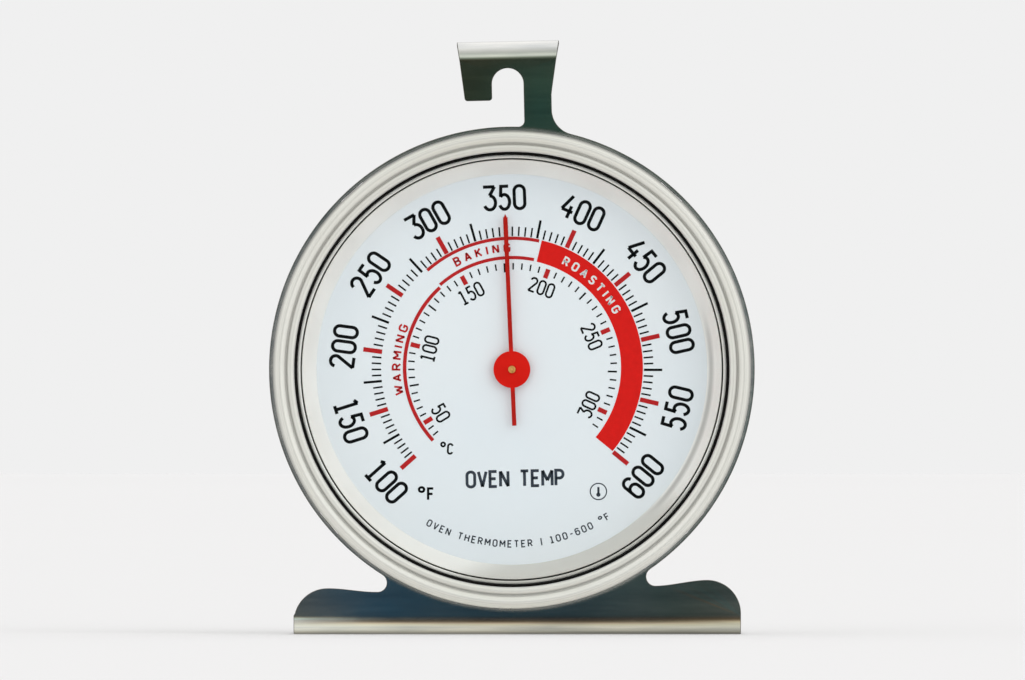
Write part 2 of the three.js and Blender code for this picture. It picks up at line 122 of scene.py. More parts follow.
def arc(x, z, r, start, end, step=6):
    """Points on an arc from one angle to another, in degrees from +x towards +z."""
    count = max(1, round(abs(end - start) / step))
    angles = [math.radians(start + (end - start) * i / count) for i in range(count + 1)]
    return [(x + r * math.cos(a), z + r * math.sin(a)) for a in angles]


def oval(x, z, rx, rz, start, end, step=12):
    return [(x + rx * p, z + rz * q) for p, q in arc(0, 0, 1, start, end, step)]


def circle(x, z, r, step=6):
    return arc(x, z, r, 0, 360, step)[:-1]


def turn(points, degrees):
    c, s = math.cos(math.radians(degrees)), math.sin(math.radians(degrees))
    return [(x * c - z * s, x * s + z * c) for x, z in points]


def on_dial(r, angle):
    a = math.radians(angle)
    return r * math.sin(a), r * math.cos(a)


def distinct(loop):
    """A closed loop without points that stand on the one before."""
    kept = [loop[0]]
    for point in loop[1:]:
        if math.dist(point, kept[-1]) > 1e-3:
            kept.append(point)
    return kept[:-1] if math.dist(kept[0], kept[-1]) < 1e-3 else kept


def inset(loop, amount, hole):
    """Moves a closed loop into the material: inwards, or outwards for a hole."""
    if not amount:
        return loop
    points = [Vector(p) for p in loop]
    area = sum(p.x * q.y - q.x * p.y for p, q in zip(points, points[1:] + points[:1]))
    side = 1 if (area > 0) != hole else -1
    moved = []
    for i, p in enumerate(points):
        u, v = (p - points[i - 1]).normalized(), (points[(i + 1) % len(points)] - p).normalized()
        first, second = Vector((-u.y, u.x)), Vector((-v.y, v.x))
        middle = (first + second).normalized()
        moved.append(p + middle * side * amount / max(0.5, middle.dot(first)))
    return [(p.x, p.y) for p in moved]


def eased(profile, size, closed=True, steps=3):
    """Rounds the corners of a profile that turn by more than 25 degrees."""
    result = []
    count = len(profile)
    for i, point in enumerate(profile):
        here = Vector(point)
        if not closed and i in (0, count - 1):
            result.append(here)
            continue
        before, after = Vector(profile[i - 1]) - here, Vector(profile[(i + 1) % count]) - here
        if before.angle(after) > math.radians(155):
            result.append(here)
            continue
        reach = min(size, before.length / 2.2, after.length / 2.2)
        a, b = here + before.normalized() * reach, here + after.normalized() * reach
        for k in range(steps + 1):
            t = k / steps
            result.append(a * (1 - t) ** 2 + here * 2 * t * (1 - t) + b * t**2)
    return [(p[0], p[1]) for p in result]


# ---- Meshes ----

SMOOTH_BELOW = 27  # degrees between faces that still shade as one surface


class Solid:
    """Collects vertices and faces in local millimetres and becomes one piece."""

    def __init__(self):
        self.verts, self.faces, self.cut_faces = [], [], set()

    def add(self, verts, faces):
        first = len(self.verts)
        self.verts += verts
        self.faces += [[first + i for i in face] for face in faces]

    def lathe(self, profile, segments=256, centre=(0, 0)):
        """Turns (radius, depth) points about the dial axis. A profile that starts on the axis is
        closed by its own ends, and any other is closed back to its start."""
        verts, rings = [], []
        for r, d in profile:
            if r < 1e-6:
                rings.append([len(verts)])
                verts.append((centre[0], d, centre[1]))
                continue
            rings.append(list(range(len(verts), len(verts) + segments)))
            for i in range(segments):
                a = 2 * math.pi * i / segments
                verts.append((centre[0] + r * math.sin(a), d, centre[1] + r * math.cos(a)))
        if profile[0][0] > 1e-6:
            rings.append(rings[0])
        faces = []
        for near, far in zip(rings, rings[1:]):
            for i in range(segments):
                j = (i + 1) % segments
                face = [near[i % len(near)], near[j % len(near)], far[j % len(far)], far[i % len(far)]]
                faces.append(list(dict.fromkeys(face)))
        self.add(verts, faces)

    def ribbon(self, points, width, front, rear, closed=False):
        """A flat line of even width along a path in x and z, as a closed bar."""
        path = [Vector(p) for p in points]
        count = len(path)
        sides = []
        for i, p in enumerate(path):
            before = path[i - 1] if closed or i else None
            after = path[(i + 1) % count] if closed or i < count - 1 else None
            u = (p - before).normalized() if before is not None else (after - p).normalized()
            v = (after - p).normalized() if after is not None else u
            across = Vector((-(u + v).y, (u + v).x))
            if across.length < 1e-3:
                across = Vector((-u.y, u.x))
            across.normalize()
            reach = width / 2 / max(0.5, across.dot(Vector((-u.y, u.x))))
            sides.append((p + across * reach, p - across * reach))
        verts = [(q.x, d, q.y) for left, right in sides for q in (left, right) for d in (front, rear)]
        faces = []
        for i in range(count if closed else count - 1):
            a, b = 4 * i, 4 * ((i + 1) % count)
            for m, n in ((0, 1), (1, 3), (3, 2), (2, 0)):
                faces.append([a + m, a + n, b + n, b + m])
        if not closed:
            last = 4 * (count - 1)
            faces += [[0, 2, 3, 1], [last, last + 1, last + 3, last + 2]]
        self.add(verts, faces)

    def bar(self, outline, x0, x1, placed):
        """An outline in radius and depth, from x0 to x1 across, put in place by a function."""
        count = len(outline)
        verts = [placed(x, r, d) for x in (x0, x1) for r, d in outline]
        faces = [[i, (i + 1) % count, count + (i + 1) % count, count + i] for i in range(count)]
        faces += [list(range(count))[::-1], list(range(count, 2 * count))]
        self.add(verts, faces)

    def sheet(self, loops, mapped, thickness, rows=(), chamfer=0.0):
        """A flat blank with holes, cut along rows and mapped from (x, z, depth in the sheet). Its cut
        edges are chamfered on both faces."""
        bm = bmesh.new()
        for i, loop in enumerate(loops):
            verts = [bm.verts.new((x, 0, z)) for x, z in inset(distinct(loop), chamfer, hole=i > 0)]
            for a, b in zip(verts, verts[1:] + verts[:1]):
                bm.edges.new((a, b))
        bmesh.ops.triangle_fill(bm, edges=bm.edges[:], use_beauty=True, use_dissolve=False)
        for point, normal in rows:
            geometry = bm.verts[:] + bm.edges[:] + bm.faces[:]
            bmesh.ops.bisect_plane(bm, geom=geometry, dist=1e-6, plane_co=point, plane_no=normal)
        bmesh.ops.recalc_face_normals(bm, faces=bm.faces[:])
        if bm.faces[0].normal.y > 0:
            bmesh.ops.reverse_faces(bm, faces=bm.faces[:])
        bm.verts.index_update()
        flat = [Vector((v.co.x, v.co.z)) for v in bm.verts]
        faces, border, outward = [], [], {}
        for face in bm.faces:
            faces.append([v.index for v in face.verts])
            for corner in face.loops:
                if corner.edge.is_boundary:
                    i, j = corner.vert.index, corner.link_loop_next.vert.index
                    along = (flat[j] - flat[i]).normalized()
                    border.append((i, j))
                    for k in (i, j):
                        outward.setdefault(k, []).append(Vector((along.y, -along.x)))
        bm.free()
        rim = {}
        for i, (first, second) in outward.items():
            middle = (first + second).normalized()
            rim[i] = flat[i] + middle * chamfer / max(0.5, middle.dot(first))
        count = len(flat)
        verts = [mapped(*p, t) for t in (0, thickness) for p in flat]
        faces += [[i + count for i in reversed(face)] for face in faces]
        rings = [{i: i for i in rim}, {i: i + count for i in rim}]
        if chamfer:
            for t in (chamfer, thickness - chamfer):
                ring = {i: len(verts) + k for k, i in enumerate(rim)}
                rings.insert(-1, ring)
                verts += [mapped(*rim[i], t) for i in rim]
        # The faces round the cut edges are listed, so that piece() can paint shade on them.
        for near, far in zip(rings, rings[1:]):
            for i, j in border:
                self.cut_faces.add(len(self.faces) + len(faces))
                faces.append([near[j], near[i], far[i], far[j]])
        self.add(verts, faces)

    def plate(self, outline, front, rear, holes=(), chamfer=0.0):
        self.sheet([outline, *holes], lambda x, z, t: (x, front + t, z), rear - front, chamfer=chamfer)

    def piece(self, name, material, slot, body=HOUSING, replaces=(), cutter=None, shade_material=None):
        mesh = bpy.data.meshes.new(name)
        mesh.from_pydata([place(*v) for v in self.verts], [], self.faces)
        bm = bmesh.new()
        bm.from_mesh(mesh)
        # Listed faces take the second material, which paints shade on them.
        if shade_material:
            bm.faces.ensure_lookup_table()
            for i in self.cut_faces:
                bm.faces[i].material_index = 1
        bmesh.ops.recalc_face_normals(bm, faces=bm.faces[:])
        bm.to_mesh(mesh)
        bm.free()
        mesh.materials.append(material)
        if shade_material:
            mesh.materials.append(shade_material)
        obj = bpy.data.objects.new(name, mesh)
        bpy.context.scene.collection.objects.link(obj)
        if cutter is not None:
            boolean = obj.modifiers.new("cut", "BOOLEAN")
            boolean.object, boolean.solver = cutter, "EXACT"
            final = bpy.data.meshes.new_from_object(obj.evaluated_get(bpy.context.evaluated_depsgraph_get()))
            obj.modifiers.clear()
            obj.data = final
            bpy.data.objects.remove(cutter)
        obj.data.name = name
        obj.data.shade_smooth()
        obj.data.set_sharp_from_angle(angle=math.radians(SMOOTH_BELOW))
        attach(obj, body)
        if replaces:
            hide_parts(*replaces)
        return obj


# ---- Materials ----


class Graph:
    """A node tree with short ways of adding to it."""

    def __init__(self, owner):
        owner.use_nodes = True
        self.nodes, self.links = owner.node_tree.nodes, owner.node_tree.links

    def node(self, kind, **values):
        made = self.nodes.new("ShaderNode" + kind)
        for name, value in values.items():
            if hasattr(made, name):
                setattr(made, name, value)
            else:
                made.inputs[name.replace("_", " ")].default_value = value
        return made

    def feed(self, socket, value):
        """Links an input to a socket, or sets it to a plain number, vector or colour."""
        if isinstance(value, bpy.types.NodeSocket):
            self.links.new(value, socket)
        else:
            socket.default_value = (*value, 1) if socket.type == "RGBA" else value

    def math(self, operation, *inputs):
        made = self.node("Math", operation=operation)
        for socket, value in zip(made.inputs, inputs):
            self.feed(socket, value)
        return made.outputs[0]

    def vector(self, operation, *inputs, result="Vector"):
        made = self.node("VectorMath", operation=operation)
        for socket, value in zip(made.inputs, inputs):
            self.feed(socket, value)
        return made.outputs[result]

    def ranged(self, source, low, high, start=0.3, end=0.7, smooth=False):
        made = self.node("MapRange", From_Min=start, From_Max=end, To_Min=low, To_Max=high)
        made.interpolation_type = "SMOOTHSTEP" if smooth else "LINEAR"
        self.links.new(source, made.inputs["Value"])
        return made.outputs["Result"]

    def mixed(self, factor, first, second, blend="MIX"):
        """Two colours, each a value or a socket, mixed by a factor."""
        mix = self.node("Mix", data_type="RGBA", blend_type=blend)
        colors = [socket for socket in mix.inputs if socket.type == "RGBA"]
        for socket, value in ((mix.inputs[0], factor), (colors[0], first), (colors[1], second)):
            self.feed(socket, value)
        return next(socket for socket in mix.outputs if socket.type == "RGBA")

    def multiplied(self, first, second):
        return self.mixed(1.0, first, second, "MULTIPLY")

    def ramp(self, source, low, high, stops):
        """A colour for a value, from (value, r, g, b) stops that lie between low and high."""
        made = self.node("ValToRGB")
        self.links.new(self.ranged(source, 0, 1, low, high), made.inputs[0])
        elements = made.color_ramp.elements
        elements.remove(elements[1])
        for i, (value, *color) in enumerate(stops):
            element = elements[0] if i == 0 else elements.new(1)
            element.position = (value - low) / (high - low)
            element.color = (*color, 1)
        return made.outputs[0]


class Finish(Graph):
    """A Principled material with a few procedural layers on it."""

    def __init__(self, name, color, roughness, metallic=0.0, **sockets):
        self.material = bpy.data.materials.new(name)
        super().__init__(self.material)
        self.shader = self.nodes["Principled BSDF"]
        self.shader.inputs["Base Color"].default_value = (*color, 1)
        self.shader.inputs["Roughness"].default_value = roughness
        self.shader.inputs["Metallic"].default_value = metallic
        for socket, value in sockets.items():
            self.shader.inputs[socket.replace("_", " ")].default_value = value

    def noise(self, scale, detail, stretch=(1, 1, 1)):
        """Noise in object space, in cycles per metre, drawn out along the axes by stretch."""
        mapping = self.node("Mapping", Scale=stretch)
        noise = self.node("TexNoise", Scale=scale, Detail=detail)
        self.links.new(self.node("TexCoord").outputs["Object"], mapping.inputs["Vector"])
        self.links.new(mapping.outputs["Vector"], noise.inputs["Vector"])
        return noise.outputs["Fac"]

    def cloud(self, scale, detail, stretch=(1, 1, 1)):
        """The same noise, spread over the whole range from 0 to 1."""
        return self.ranged(self.noise(scale, detail, stretch), 0, 1)

    def from_axis(self):
        """The offset of a point from the dial axis, and its distance from it, in metres."""
        offset = self.vector("SUBTRACT", self.node("NewGeometry").outputs["Position"], ORIGIN)
        flat = self.vector("MULTIPLY", offset, (1, 0, 1))
        return offset, self.vector("LENGTH", flat, result="Value")

    def along(self, vector, direction):
        """How far a vector reaches in a direction."""
        return self.vector("DOT_PRODUCT", vector, direction, result="Value")

    def ring_noise(self, scale, detail=3.0):
        """Noise that depends only on the distance from the dial axis, as spun marks do."""
        offset, distance = self.from_axis()
        noise = self.node("TexNoise", noise_dimensions="1D", Scale=scale, Detail=detail)
        self.links.new(self.math("ADD", distance, self.along(offset, (0, 1, 0))), noise.inputs["W"])
        return noise.outputs["Fac"]

    def rough(self, source, low, high):
        self.links.new(self.ranged(source, low, high), self.shader.inputs["Roughness"])
        return self

    def tinted(self, source, first, second):
        """Base colour that runs between two colours with a source."""
        self.links.new(self.mixed(source, first, second), self.shader.inputs["Base Color"])
        return self

    def bumped(self, source, height_mm, strength=1.0, normal=None):
        bump = self.node("Bump", Strength=strength, Distance=height_mm * MM)
        self.links.new(source, bump.inputs["Height"])
        if normal is not None:
            self.links.new(normal, bump.inputs["Normal"])
        self.links.new(bump.outputs["Normal"], self.shader.inputs["Normal"])
        return self

    def domed(self, slope):
        """A normal that leans outwards with the distance from the dial axis, as on a bowed sheet."""
        lean = self.vector("MULTIPLY", self.from_axis()[0], (slope, 0, slope))
        total = self.vector("ADD", self.node("NewGeometry").outputs["Normal"], lean)
        return self.vector("NORMALIZE", total)

    def spun(self, amount):
        """Stretches highlights across marks that run round the dial axis."""
        tangent = self.node("Tangent", direction_type="RADIAL", axis="Y")
        self.shader.inputs["Anisotropic"].default_value = amount
        self.shader.inputs["Anisotropic Rotation"].default_value = 0.25
        self.links.new(tangent.outputs["Tangent"], self.shader.inputs["Tangent"])
        return self


RUBBED_R = (45.7 * MM, 46.3 * MM)  # where the plate is rubbed dull next to the bezel


def polished_plate():
    """Bright rolled sheet, very slightly bowed, streaked along its length, rubbed next to the bezel."""
    finish = Finish("polished_plate", (0.78, 0.78, 0.77), 0.12, 1.0)
    _, distance = finish.from_axis()
    rubbing_and_shade_line = finish.ranged(distance, 0.16, 0, *RUBBED_R)
    roughness = finish.math("ADD", rubbing_and_shade_line, finish.ranged(finish.noise(60, 5), 0.09, 0.15))
    finish.links.new(roughness, finish.shader.inputs["Roughness"])
    streaks = finish.cloud(420, 5, (0.1, 1, 1))
    finish.tinted(streaks, (0.56, 0.58, 0.6), (0.9, 0.885, 0.86))
    return finish.bumped(finish.noise(180, 2, (0.3, 1, 1)), 0.006, 0.5, finish.domed(1.5)).material


# Painted shade: the cut edges are coloured far darker than bare steel, for the dark line of shade round the
# plate's outline. Their roughness and bumps are a sheared edge's.
def sheared_edge():
    finish = Finish("sheared_edge", (0.16, 0.15, 0.135), 0.5, 1.0)
    finish.tinted(finish.cloud(700, 3), (0.11, 0.105, 0.09), (0.22, 0.21, 0.19))
    return finish.bumped(finish.noise(3000, 2), 0.02, 0.6).material


# How bright the bezel is painted by its radius in mm: painted shade at the lip and in the groove, and painted
# highlight on the crowns of its beads.
BEZEL_SHADE_BANDS = [
    (41.3, 0.66), (41.7, 0.98), (42.25, 0.97), (42.5, 0.82), (42.7, 0.6), (42.95, 0.7),
    (43.25, 0.88), (43.6, 0.98), (44.3, 1.0), (44.55, 0.9), (44.8, 1.0),
]
RIM_SHADE_BANDS = [(44.7, 1.0), (44.95, 0.84), (45.2, 0.42), (45.45, 0.24)]  # painted shade round the rim, deeper towards its top
BAND_SPAN = (41 * MM, 46 * MM)  # the radii between which all these bands lie
RIM_SHADE_HEIGHTS = (-0.045, 0.03)  # metres from the axis, over which the rim's painted shade comes in


def bezel_bands(finish, distance, bands):
    stops = [(r * MM, level, level * 0.996, level * 0.992) for r, level in bands]
    return finish.ramp(distance, *BAND_SPAN, stops)


def spun_bezel():
    finish = Finish("spun_bezel", (0.93, 0.925, 0.9), 0.45, 0.45)
    marks = finish.ring_noise(7000)
    finish.rough(marks, 0.38, 0.5)
    cloud = finish.mixed(finish.cloud(30, 3), (0.94, 0.94, 0.92), (1.0, 1.0, 0.99))
    fine = finish.mixed(finish.ranged(marks, 0, 1), (0.8, 0.8, 0.78), (0.94, 0.94, 0.915))
    broad_marks = finish.ranged(finish.ring_noise(1500, 1), 0, 1)
    broad = finish.mixed(broad_marks, (0.9, 0.9, 0.89), (1.04, 1.04, 1.04))
    offset, distance = finish.from_axis()
    # Painted shade round the rim, coming in towards the top.
    upper = finish.ranged(finish.along(offset, (0, 0, 1)), 0, 1, *RIM_SHADE_HEIGHTS)
    rim = finish.mixed(upper, (1.0, 1.0, 1.0), bezel_bands(finish, distance, RIM_SHADE_BANDS))
    # Painted shade and highlight: the bands darken the lip, the groove and the rim's top, and brighten the
    # crowns.
    painted_shade = finish.multiplied(bezel_bands(finish, distance, BEZEL_SHADE_BANDS), rim)
    color = finish.multiplied(finish.multiplied(cloud, finish.multiplied(fine, broad)), painted_shade)
    finish.links.new(color, finish.shader.inputs["Base Color"])
    return finish.bumped(marks, 0.006, 0.35).material


def drawn_steel():
    finish = Finish("drawn_steel", (0.6, 0.59, 0.56), 0.32, 1.0).spun(0.3)
    marks = finish.ring_noise(4000)
    finish.rough(finish.noise(70, 5), 0.27, 0.42)
    finish.tinted(finish.cloud(25, 4), (0.56, 0.55, 0.51), (0.66, 0.65, 0.62))
    return finish.bumped(marks, 0.008, 0.4).material


def plain_steel():
    finish = Finish("plain_steel", (0.58, 0.57, 0.55), 0.3, 1.0)
    finish.rough(finish.noise(500, 4), 0.24, 0.4)
    return finish.bumped(finish.noise(2500, 2), 0.004, 0.4).material


# Painted shade on the ring: a darker patch low on its right, and a thin dark line near the dial above that.
LOW_SHADE_SIDE, LOW_SHADE_REACH = (0.34, 0, -0.94), (0.031, 0.036)  # a direction, and how far out that way, in metres
SHADE_LINE_SIDE, SHADE_LINE_REACH = (0.94, 0, -0.34), (0.029, 0.036)
SHADE_LINE_INNER_R, SHADE_LINE_OUTER_R = (37.3 * MM, 37.7 * MM), (38.0 * MM, 38.6 * MM)


def warm_aluminium():
    """Brushed aluminium with painted shade low on its right, and a painted thin line of shade near the dial
    above that.
    """
    finish = Finish("warm_aluminium", (0.96, 0.94, 0.9), 0.38, 0.3)
    offset, distance = finish.from_axis()
    low_right_shade = finish.ranged(finish.along(offset, LOW_SHADE_SIDE), 0, 1, *LOW_SHADE_REACH, smooth=True)
    near = finish.ranged(finish.along(offset, SHADE_LINE_SIDE), 0, 1, *SHADE_LINE_REACH, smooth=True)
    within = finish.ranged(distance, 1, 0, *SHADE_LINE_OUTER_R)
    beyond = finish.ranged(distance, 0, 1, *SHADE_LINE_INNER_R)
    # Painted shade: a thin dark line near the dial on the ring's right.
    shade_line = finish.math("MULTIPLY", finish.math("MULTIPLY", near, within), beyond)
    cloud = finish.mixed(finish.cloud(28, 3), (0.96, 0.94, 0.9), (1.0, 0.985, 0.95))
    rubbing_and_shade_line = finish.mixed(shade_line, cloud, (0.62, 0.6, 0.57))
    finish.tinted(low_right_shade, rubbing_and_shade_line, (0.71, 0.695, 0.655))
    return finish.bumped(finish.ring_noise(6000), 0.004, 0.35).material


def dial_enamel():
    finish = Finish("dial_enamel", (0.84, 0.89, 0.93), 0.42, Specular_IOR_Level=0.3)
    finish.tinted(finish.cloud(35, 3), (0.83, 0.885, 0.935), (0.86, 0.9, 0.935))
    return finish.bumped(finish.noise(2600, 3), 0.004, 0.3).material


def ink(name, color, roughness=0.45, spread=0.12):
    finish = Finish(name, color, roughness, Specular_IOR_Level=0.08)
    low = tuple(c * (1 - spread) for c in color)
    high = tuple(min(1, c * (1 + spread)) for c in color)
    finish.tinted(finish.cloud(900, 4), low, high)
    return finish.material


HUB_EDGE_R = (3.6 * MM, 4.4 * MM)  # where the hub's paint thins out to the needle's


def pointer_paint():
    """Red enamel, thick and bright on the hub and thinner and darker along the needle."""
    finish = Finish("pointer_paint", (0.7, 0.008, 0.003), 0.33, Specular_IOR_Level=0.1)
    cloud = finish.cloud(260, 3)
    hub = finish.mixed(cloud, (0.66, 0.007, 0.002), (0.74, 0.01, 0.004))
    needle = finish.mixed(cloud, (0.42, 0.008, 0.004), (0.5, 0.013, 0.007))
    _, distance = finish.from_axis()
    finish.tinted(finish.ranged(distance, 0, 1, *HUB_EDGE_R), hub, needle)
    return finish.bumped(finish.noise(1800, 2), 0.006, 0.4).material


def turned_brass():
    finish = Finish("turned_brass", (0.85, 0.46, 0.13), 0.32, 0.6).spun(0.4)
    finish.tinted(finish.cloud(600, 4), (0.78, 0.38, 0.08), (0.92, 0.5, 0.16))
    return finish.bumped(finish.ring_noise(15000), 0.003, 0.4).material


def rolled_bimetal():
    finish = Finish("rolled_bimetal", (0.45, 0.42, 0.37), 0.35, 1.0)
    finish.tinted(finish.cloud(300, 4), (0.38, 0.35, 0.31), (0.52, 0.48, 0.42))
    return finish.bumped(finish.noise(1500, 2, (1, 0.05, 1)), 0.005, 0.5).material


def black_rubber():
    finish = Finish("black_rubber", (0.004, 0.003, 0.003), 0.75, Specular_IOR_Level=0.15)
    finish.rough(finish.noise(900, 3), 0.62, 0.85)
    return finish.bumped(finish.noise(3000, 2), 0.01, 0.5).material


def clear_glass():
    """Clear where it is looked through, and shiny at its surface."""
    finish = Finish("clear_glass", (1, 1, 1), 0.02)
    clear = finish.node("BsdfTransparent", Color=(0.985, 0.99, 0.99, 1))
    gloss = finish.node("BsdfGlossy", Roughness=0.02)
    fresnel = finish.node("Fresnel", IOR=1.45)
    facing = finish.math("SUBTRACT", 1, finish.node("NewGeometry").outputs["Backfacing"])
    mix = finish.node("MixShader")
    finish.links.new(finish.math("MULTIPLY", fresnel.outputs[0], facing), mix.inputs[0])
    finish.links.new(clear.outputs[0], mix.inputs[1])
    finish.links.new(gloss.outputs[0], mix.inputs[2])
    output = finish.nodes["Material Output"]
    finish.nodes.remove(finish.shader)
    finish.links.new(mix.outputs[0], output.inputs["Surface"])
    return finish.material


PLATE_STEEL, CUT_EDGE_SHADE, BEZEL_STEEL = polished_plate(), sheared_edge(), spun_bezel()
PAN_STEEL, SMALL_STEEL = drawn_steel(), plain_steel()
ALUMINIUM, ENAMEL, BRASS, BIMETAL = warm_aluminium(), dial_enamel(), turned_brass(), rolled_bimetal()
RUBBER, GLASS, RED_PAINT = black_rubber(), clear_glass(), pointer_paint()
BLACK_INK = ink("black_ink", (0.004, 0.004, 0.0045))
RED_INK = ink("red_ink", (0.72, 0.012, 0.009), spread=0.05)
DARK_RED_INK = ink("dark_red_ink", (0.5, 0.018, 0.02), spread=0.08)
SLATE_INK = ink("slate_ink", (0.045, 0.055, 0.072))
WHITE_INK = ink("white_ink", (0.8, 0.8, 0.8), spread=0.04)

# ---- Plate, hook and foot ----

PLATE, RIM_R, PLATE_HOLE_R, FOLD_R, SKEW = 0.8, 46.14, 41.7, 3.6, 1.26
FOOT_DEPTH, FOOT_CORNER_R = 40, 6
WING_HALF, WING_TOP, WING_CORNER_R = 42.5, -40.8, 6.4
NOTCH_R, NOTCH_Z = 1.75, -39.95
HOOK_TOP, HOOK_FLANGE, FLANGE_CORNER_R = 62.4, 4, 1.2
STEM_X, KNEE_X, KNEE_Z, STEM_TAPER = 8.68, 8.85, 53.3, 0.16
LEG_X, LEG_TAPER, LEG_BOTTOM, LEG_CORNER_R = -7.8, 0.114, 51.15, 0.6
SLOT_X, SLOT_R, SLOT_Z = 0.4, 3, 54.25
ROOT_R, SHOULDER_R = 1.15, 4.8
TAB_ANGLES, TAB_HALF, TAB_SLOT_R, TAB_END_R = (42, 130, 230, 318), 2.5, (44.75, 45.45), 42.6
FOLD_ROWS = 20
FOOT_FOLD_Z, HOOK_FOLD_Z = FOLD_R - AXIS_HEIGHT, HOOK_TOP - FOLD_R
FOLD_LENGTH = FOLD_R * math.pi / 2


def stem_edge(z):
    return KNEE_X + STEM_TAPER * (z - KNEE_Z)


def leg_edge(z):
    return LEG_X - LEG_TAPER * (z - LEG_BOTTOM)


def degrees_of(x, z):
    return math.degrees(math.atan2(z, x))


def hook_outline(top):
    """From the stem's shoulder on the right, round the top and the slot, to the slot's root."""
    shoulder_x = STEM_X + SHOULDER_R
    shoulder_z = math.sqrt((RIM_R + SHOULDER_R) ** 2 - shoulder_x**2)
    right, left = SLOT_X + SLOT_R, SLOT_X - SLOT_R
    root_x = right - ROOT_R
    root_z = math.sqrt((RIM_R + ROOT_R) ** 2 - root_x**2)
    corner_z = LEG_BOTTOM + LEG_CORNER_R
    end_left, end_right = leg_edge(HOOK_TOP) + FLANGE_CORNER_R, stem_edge(HOOK_TOP) - FLANGE_CORNER_R
    bends = [math.pi / 2 * i / FOLD_ROWS for i in range(FOLD_ROWS + 1)]
    fold = [(HOOK_FOLD_Z + FOLD_R * bend, HOOK_FOLD_Z + FOLD_R * math.sin(bend)) for bend in bends]
    shoulder = arc(shoulder_x, shoulder_z, SHOULDER_R, 180 + degrees_of(shoulder_x, shoulder_z), 180, 4)
    return [
        *shoulder,
        (STEM_X, KNEE_Z - 1.2),
        (KNEE_X, KNEE_Z),
        *[(stem_edge(height), z) for z, height in fold],
        *arc(end_right, top - FLANGE_CORNER_R, FLANGE_CORNER_R, 0, 90, 15),
        *arc(end_left, top - FLANGE_CORNER_R, FLANGE_CORNER_R, 90, 180, 15),
        *[(leg_edge(height), z) for z, height in reversed(fold)],
        *arc(leg_edge(corner_z) + LEG_CORNER_R, corner_z, LEG_CORNER_R, 180, 270, 15),
        *arc(left - LEG_CORNER_R, corner_z, LEG_CORNER_R, 270, 360, 15),
        *arc(SLOT_X, SLOT_Z, SLOT_R, 180, 0, 5),
        *arc(root_x, root_z, ROOT_R, 360, 180 + degrees_of(root_x, root_z), 9),
    ]


def wing_outline():
    """The right wing's top edge, from its outer side to the end of its notch."""
    notch_x = math.sqrt((RIM_R + NOTCH_R) ** 2 - NOTCH_Z**2)
    floor = NOTCH_Z - NOTCH_R
    corner_x, corner_z = WING_HALF - WING_CORNER_R, WING_TOP - WING_CORNER_R
    slope = []
    for i in range(1, 16):
        t = i / 16
        swing = t * t * (3 - 2 * t)
        slope.append((corner_x + (notch_x - corner_x) * t, WING_TOP + (floor - WING_TOP) * swing))
    return [
        *arc(corner_x, corner_z, WING_CORNER_R, 0, 90, 4),
        *slope,
        *arc(notch_x, NOTCH_Z, NOTCH_R, 270, 180 - degrees_of(notch_x, -NOTCH_Z), 9),
    ]


def blank_outline():
    """The whole blank before it's folded: the foot level, the rest leaning by the skew."""
    wing = wing_outline()
    left_wing = [(-x, z) for x, z in reversed(wing)]
    hook = hook_outline(HOOK_FOLD_Z + FOLD_LENGTH + HOOK_FLANGE)

    def angle_at(point):
        return degrees_of(*point) % 360

    upper = [
        *wing,
        *arc(0, 0, RIM_R, angle_at(wing[-1]) - 360, angle_at(hook[0]), 1.5)[1:-1],
        *hook,
        *arc(0, 0, RIM_R, angle_at(hook[-1]), angle_at(left_wing[0]), 1.5)[1:-1],
        *left_wing,
    ]
    shift = -FOOT_FOLD_Z * math.sin(math.radians(SKEW))
    left, right = shift - WING_HALF, shift + WING_HALF
    rear = FOOT_FOLD_Z - FOLD_LENGTH - (FOOT_DEPTH - FOLD_R)
    corner_z = rear + FOOT_CORNER_R
    foot = [
        (left, FOOT_FOLD_Z),
        *arc(left + FOOT_CORNER_R, corner_z, FOOT_CORNER_R, 180, 270, 5),
        *arc(right - FOOT_CORNER_R, corner_z, FOOT_CORNER_R, 270, 360, 5),
        (right, FOOT_FOLD_Z),
    ]
    above = [p for p in turn(upper, SKEW) if p[1] > FOOT_FOLD_Z + 0.05]
    return foot + above


def folded(along, t):
    """Depth, and height beyond the fold line, of a point in a sheet folded backwards."""
    if along <= 0:
        return t, along
    bend = min(along / FOLD_R, math.pi / 2)
    beyond = max(0, along - FOLD_LENGTH)
    reach = FOLD_R - t
    return FOLD_R - reach * math.cos(bend) + beyond, reach * math.sin(bend)


def folded_plate(x, z, t):
    if z < FOOT_FOLD_Z:
        d, below = folded(FOOT_FOLD_Z - z, t)
        return x, d, FOOT_FOLD_Z - below
    (u, v), = turn([(x, z)], -SKEW)
    if v > HOOK_FOLD_Z:
        d, above = folded(v - HOOK_FOLD_Z, t)
        (x, z), = turn([(u, HOOK_FOLD_Z + above)], SKEW)
        return x, d, z
    return x, t, z


def tab_slot(angle):
    inner, outer = TAB_SLOT_R
    half = TAB_HALF + 0.2
    corners = [(-half, inner), (half, inner), (half, outer), (-half, outer)]
    return turn(corners, -angle)


def make_plate():
    rows = []
    for i in range(FOLD_ROWS + 1):
        along = FOLD_LENGTH * i / FOLD_ROWS
        rows.append(((0, 0, FOOT_FOLD_Z - along), (0, 0, 1)))
        (x, z), (nx, nz) = turn([(0, HOOK_FOLD_Z + along), (0, 1)], SKEW)
        rows.append(((x, 0, z), (nx, 0, nz)))
    solid = Solid()
    holes = [circle(0, 0, PLATE_HOLE_R, 1.5), *[tab_slot(angle) for angle in TAB_ANGLES]]
    solid.sheet([blank_outline(), *holes], folded_plate, PLATE, rows, chamfer=0.1)
    # The plate's cut edges take painted shade.
    solid.piece("plate", PLATE_STEEL, "polished_steel", replaces=["stand_frame"], shade_material=CUT_EDGE_SHADE)


# ---- Case ----

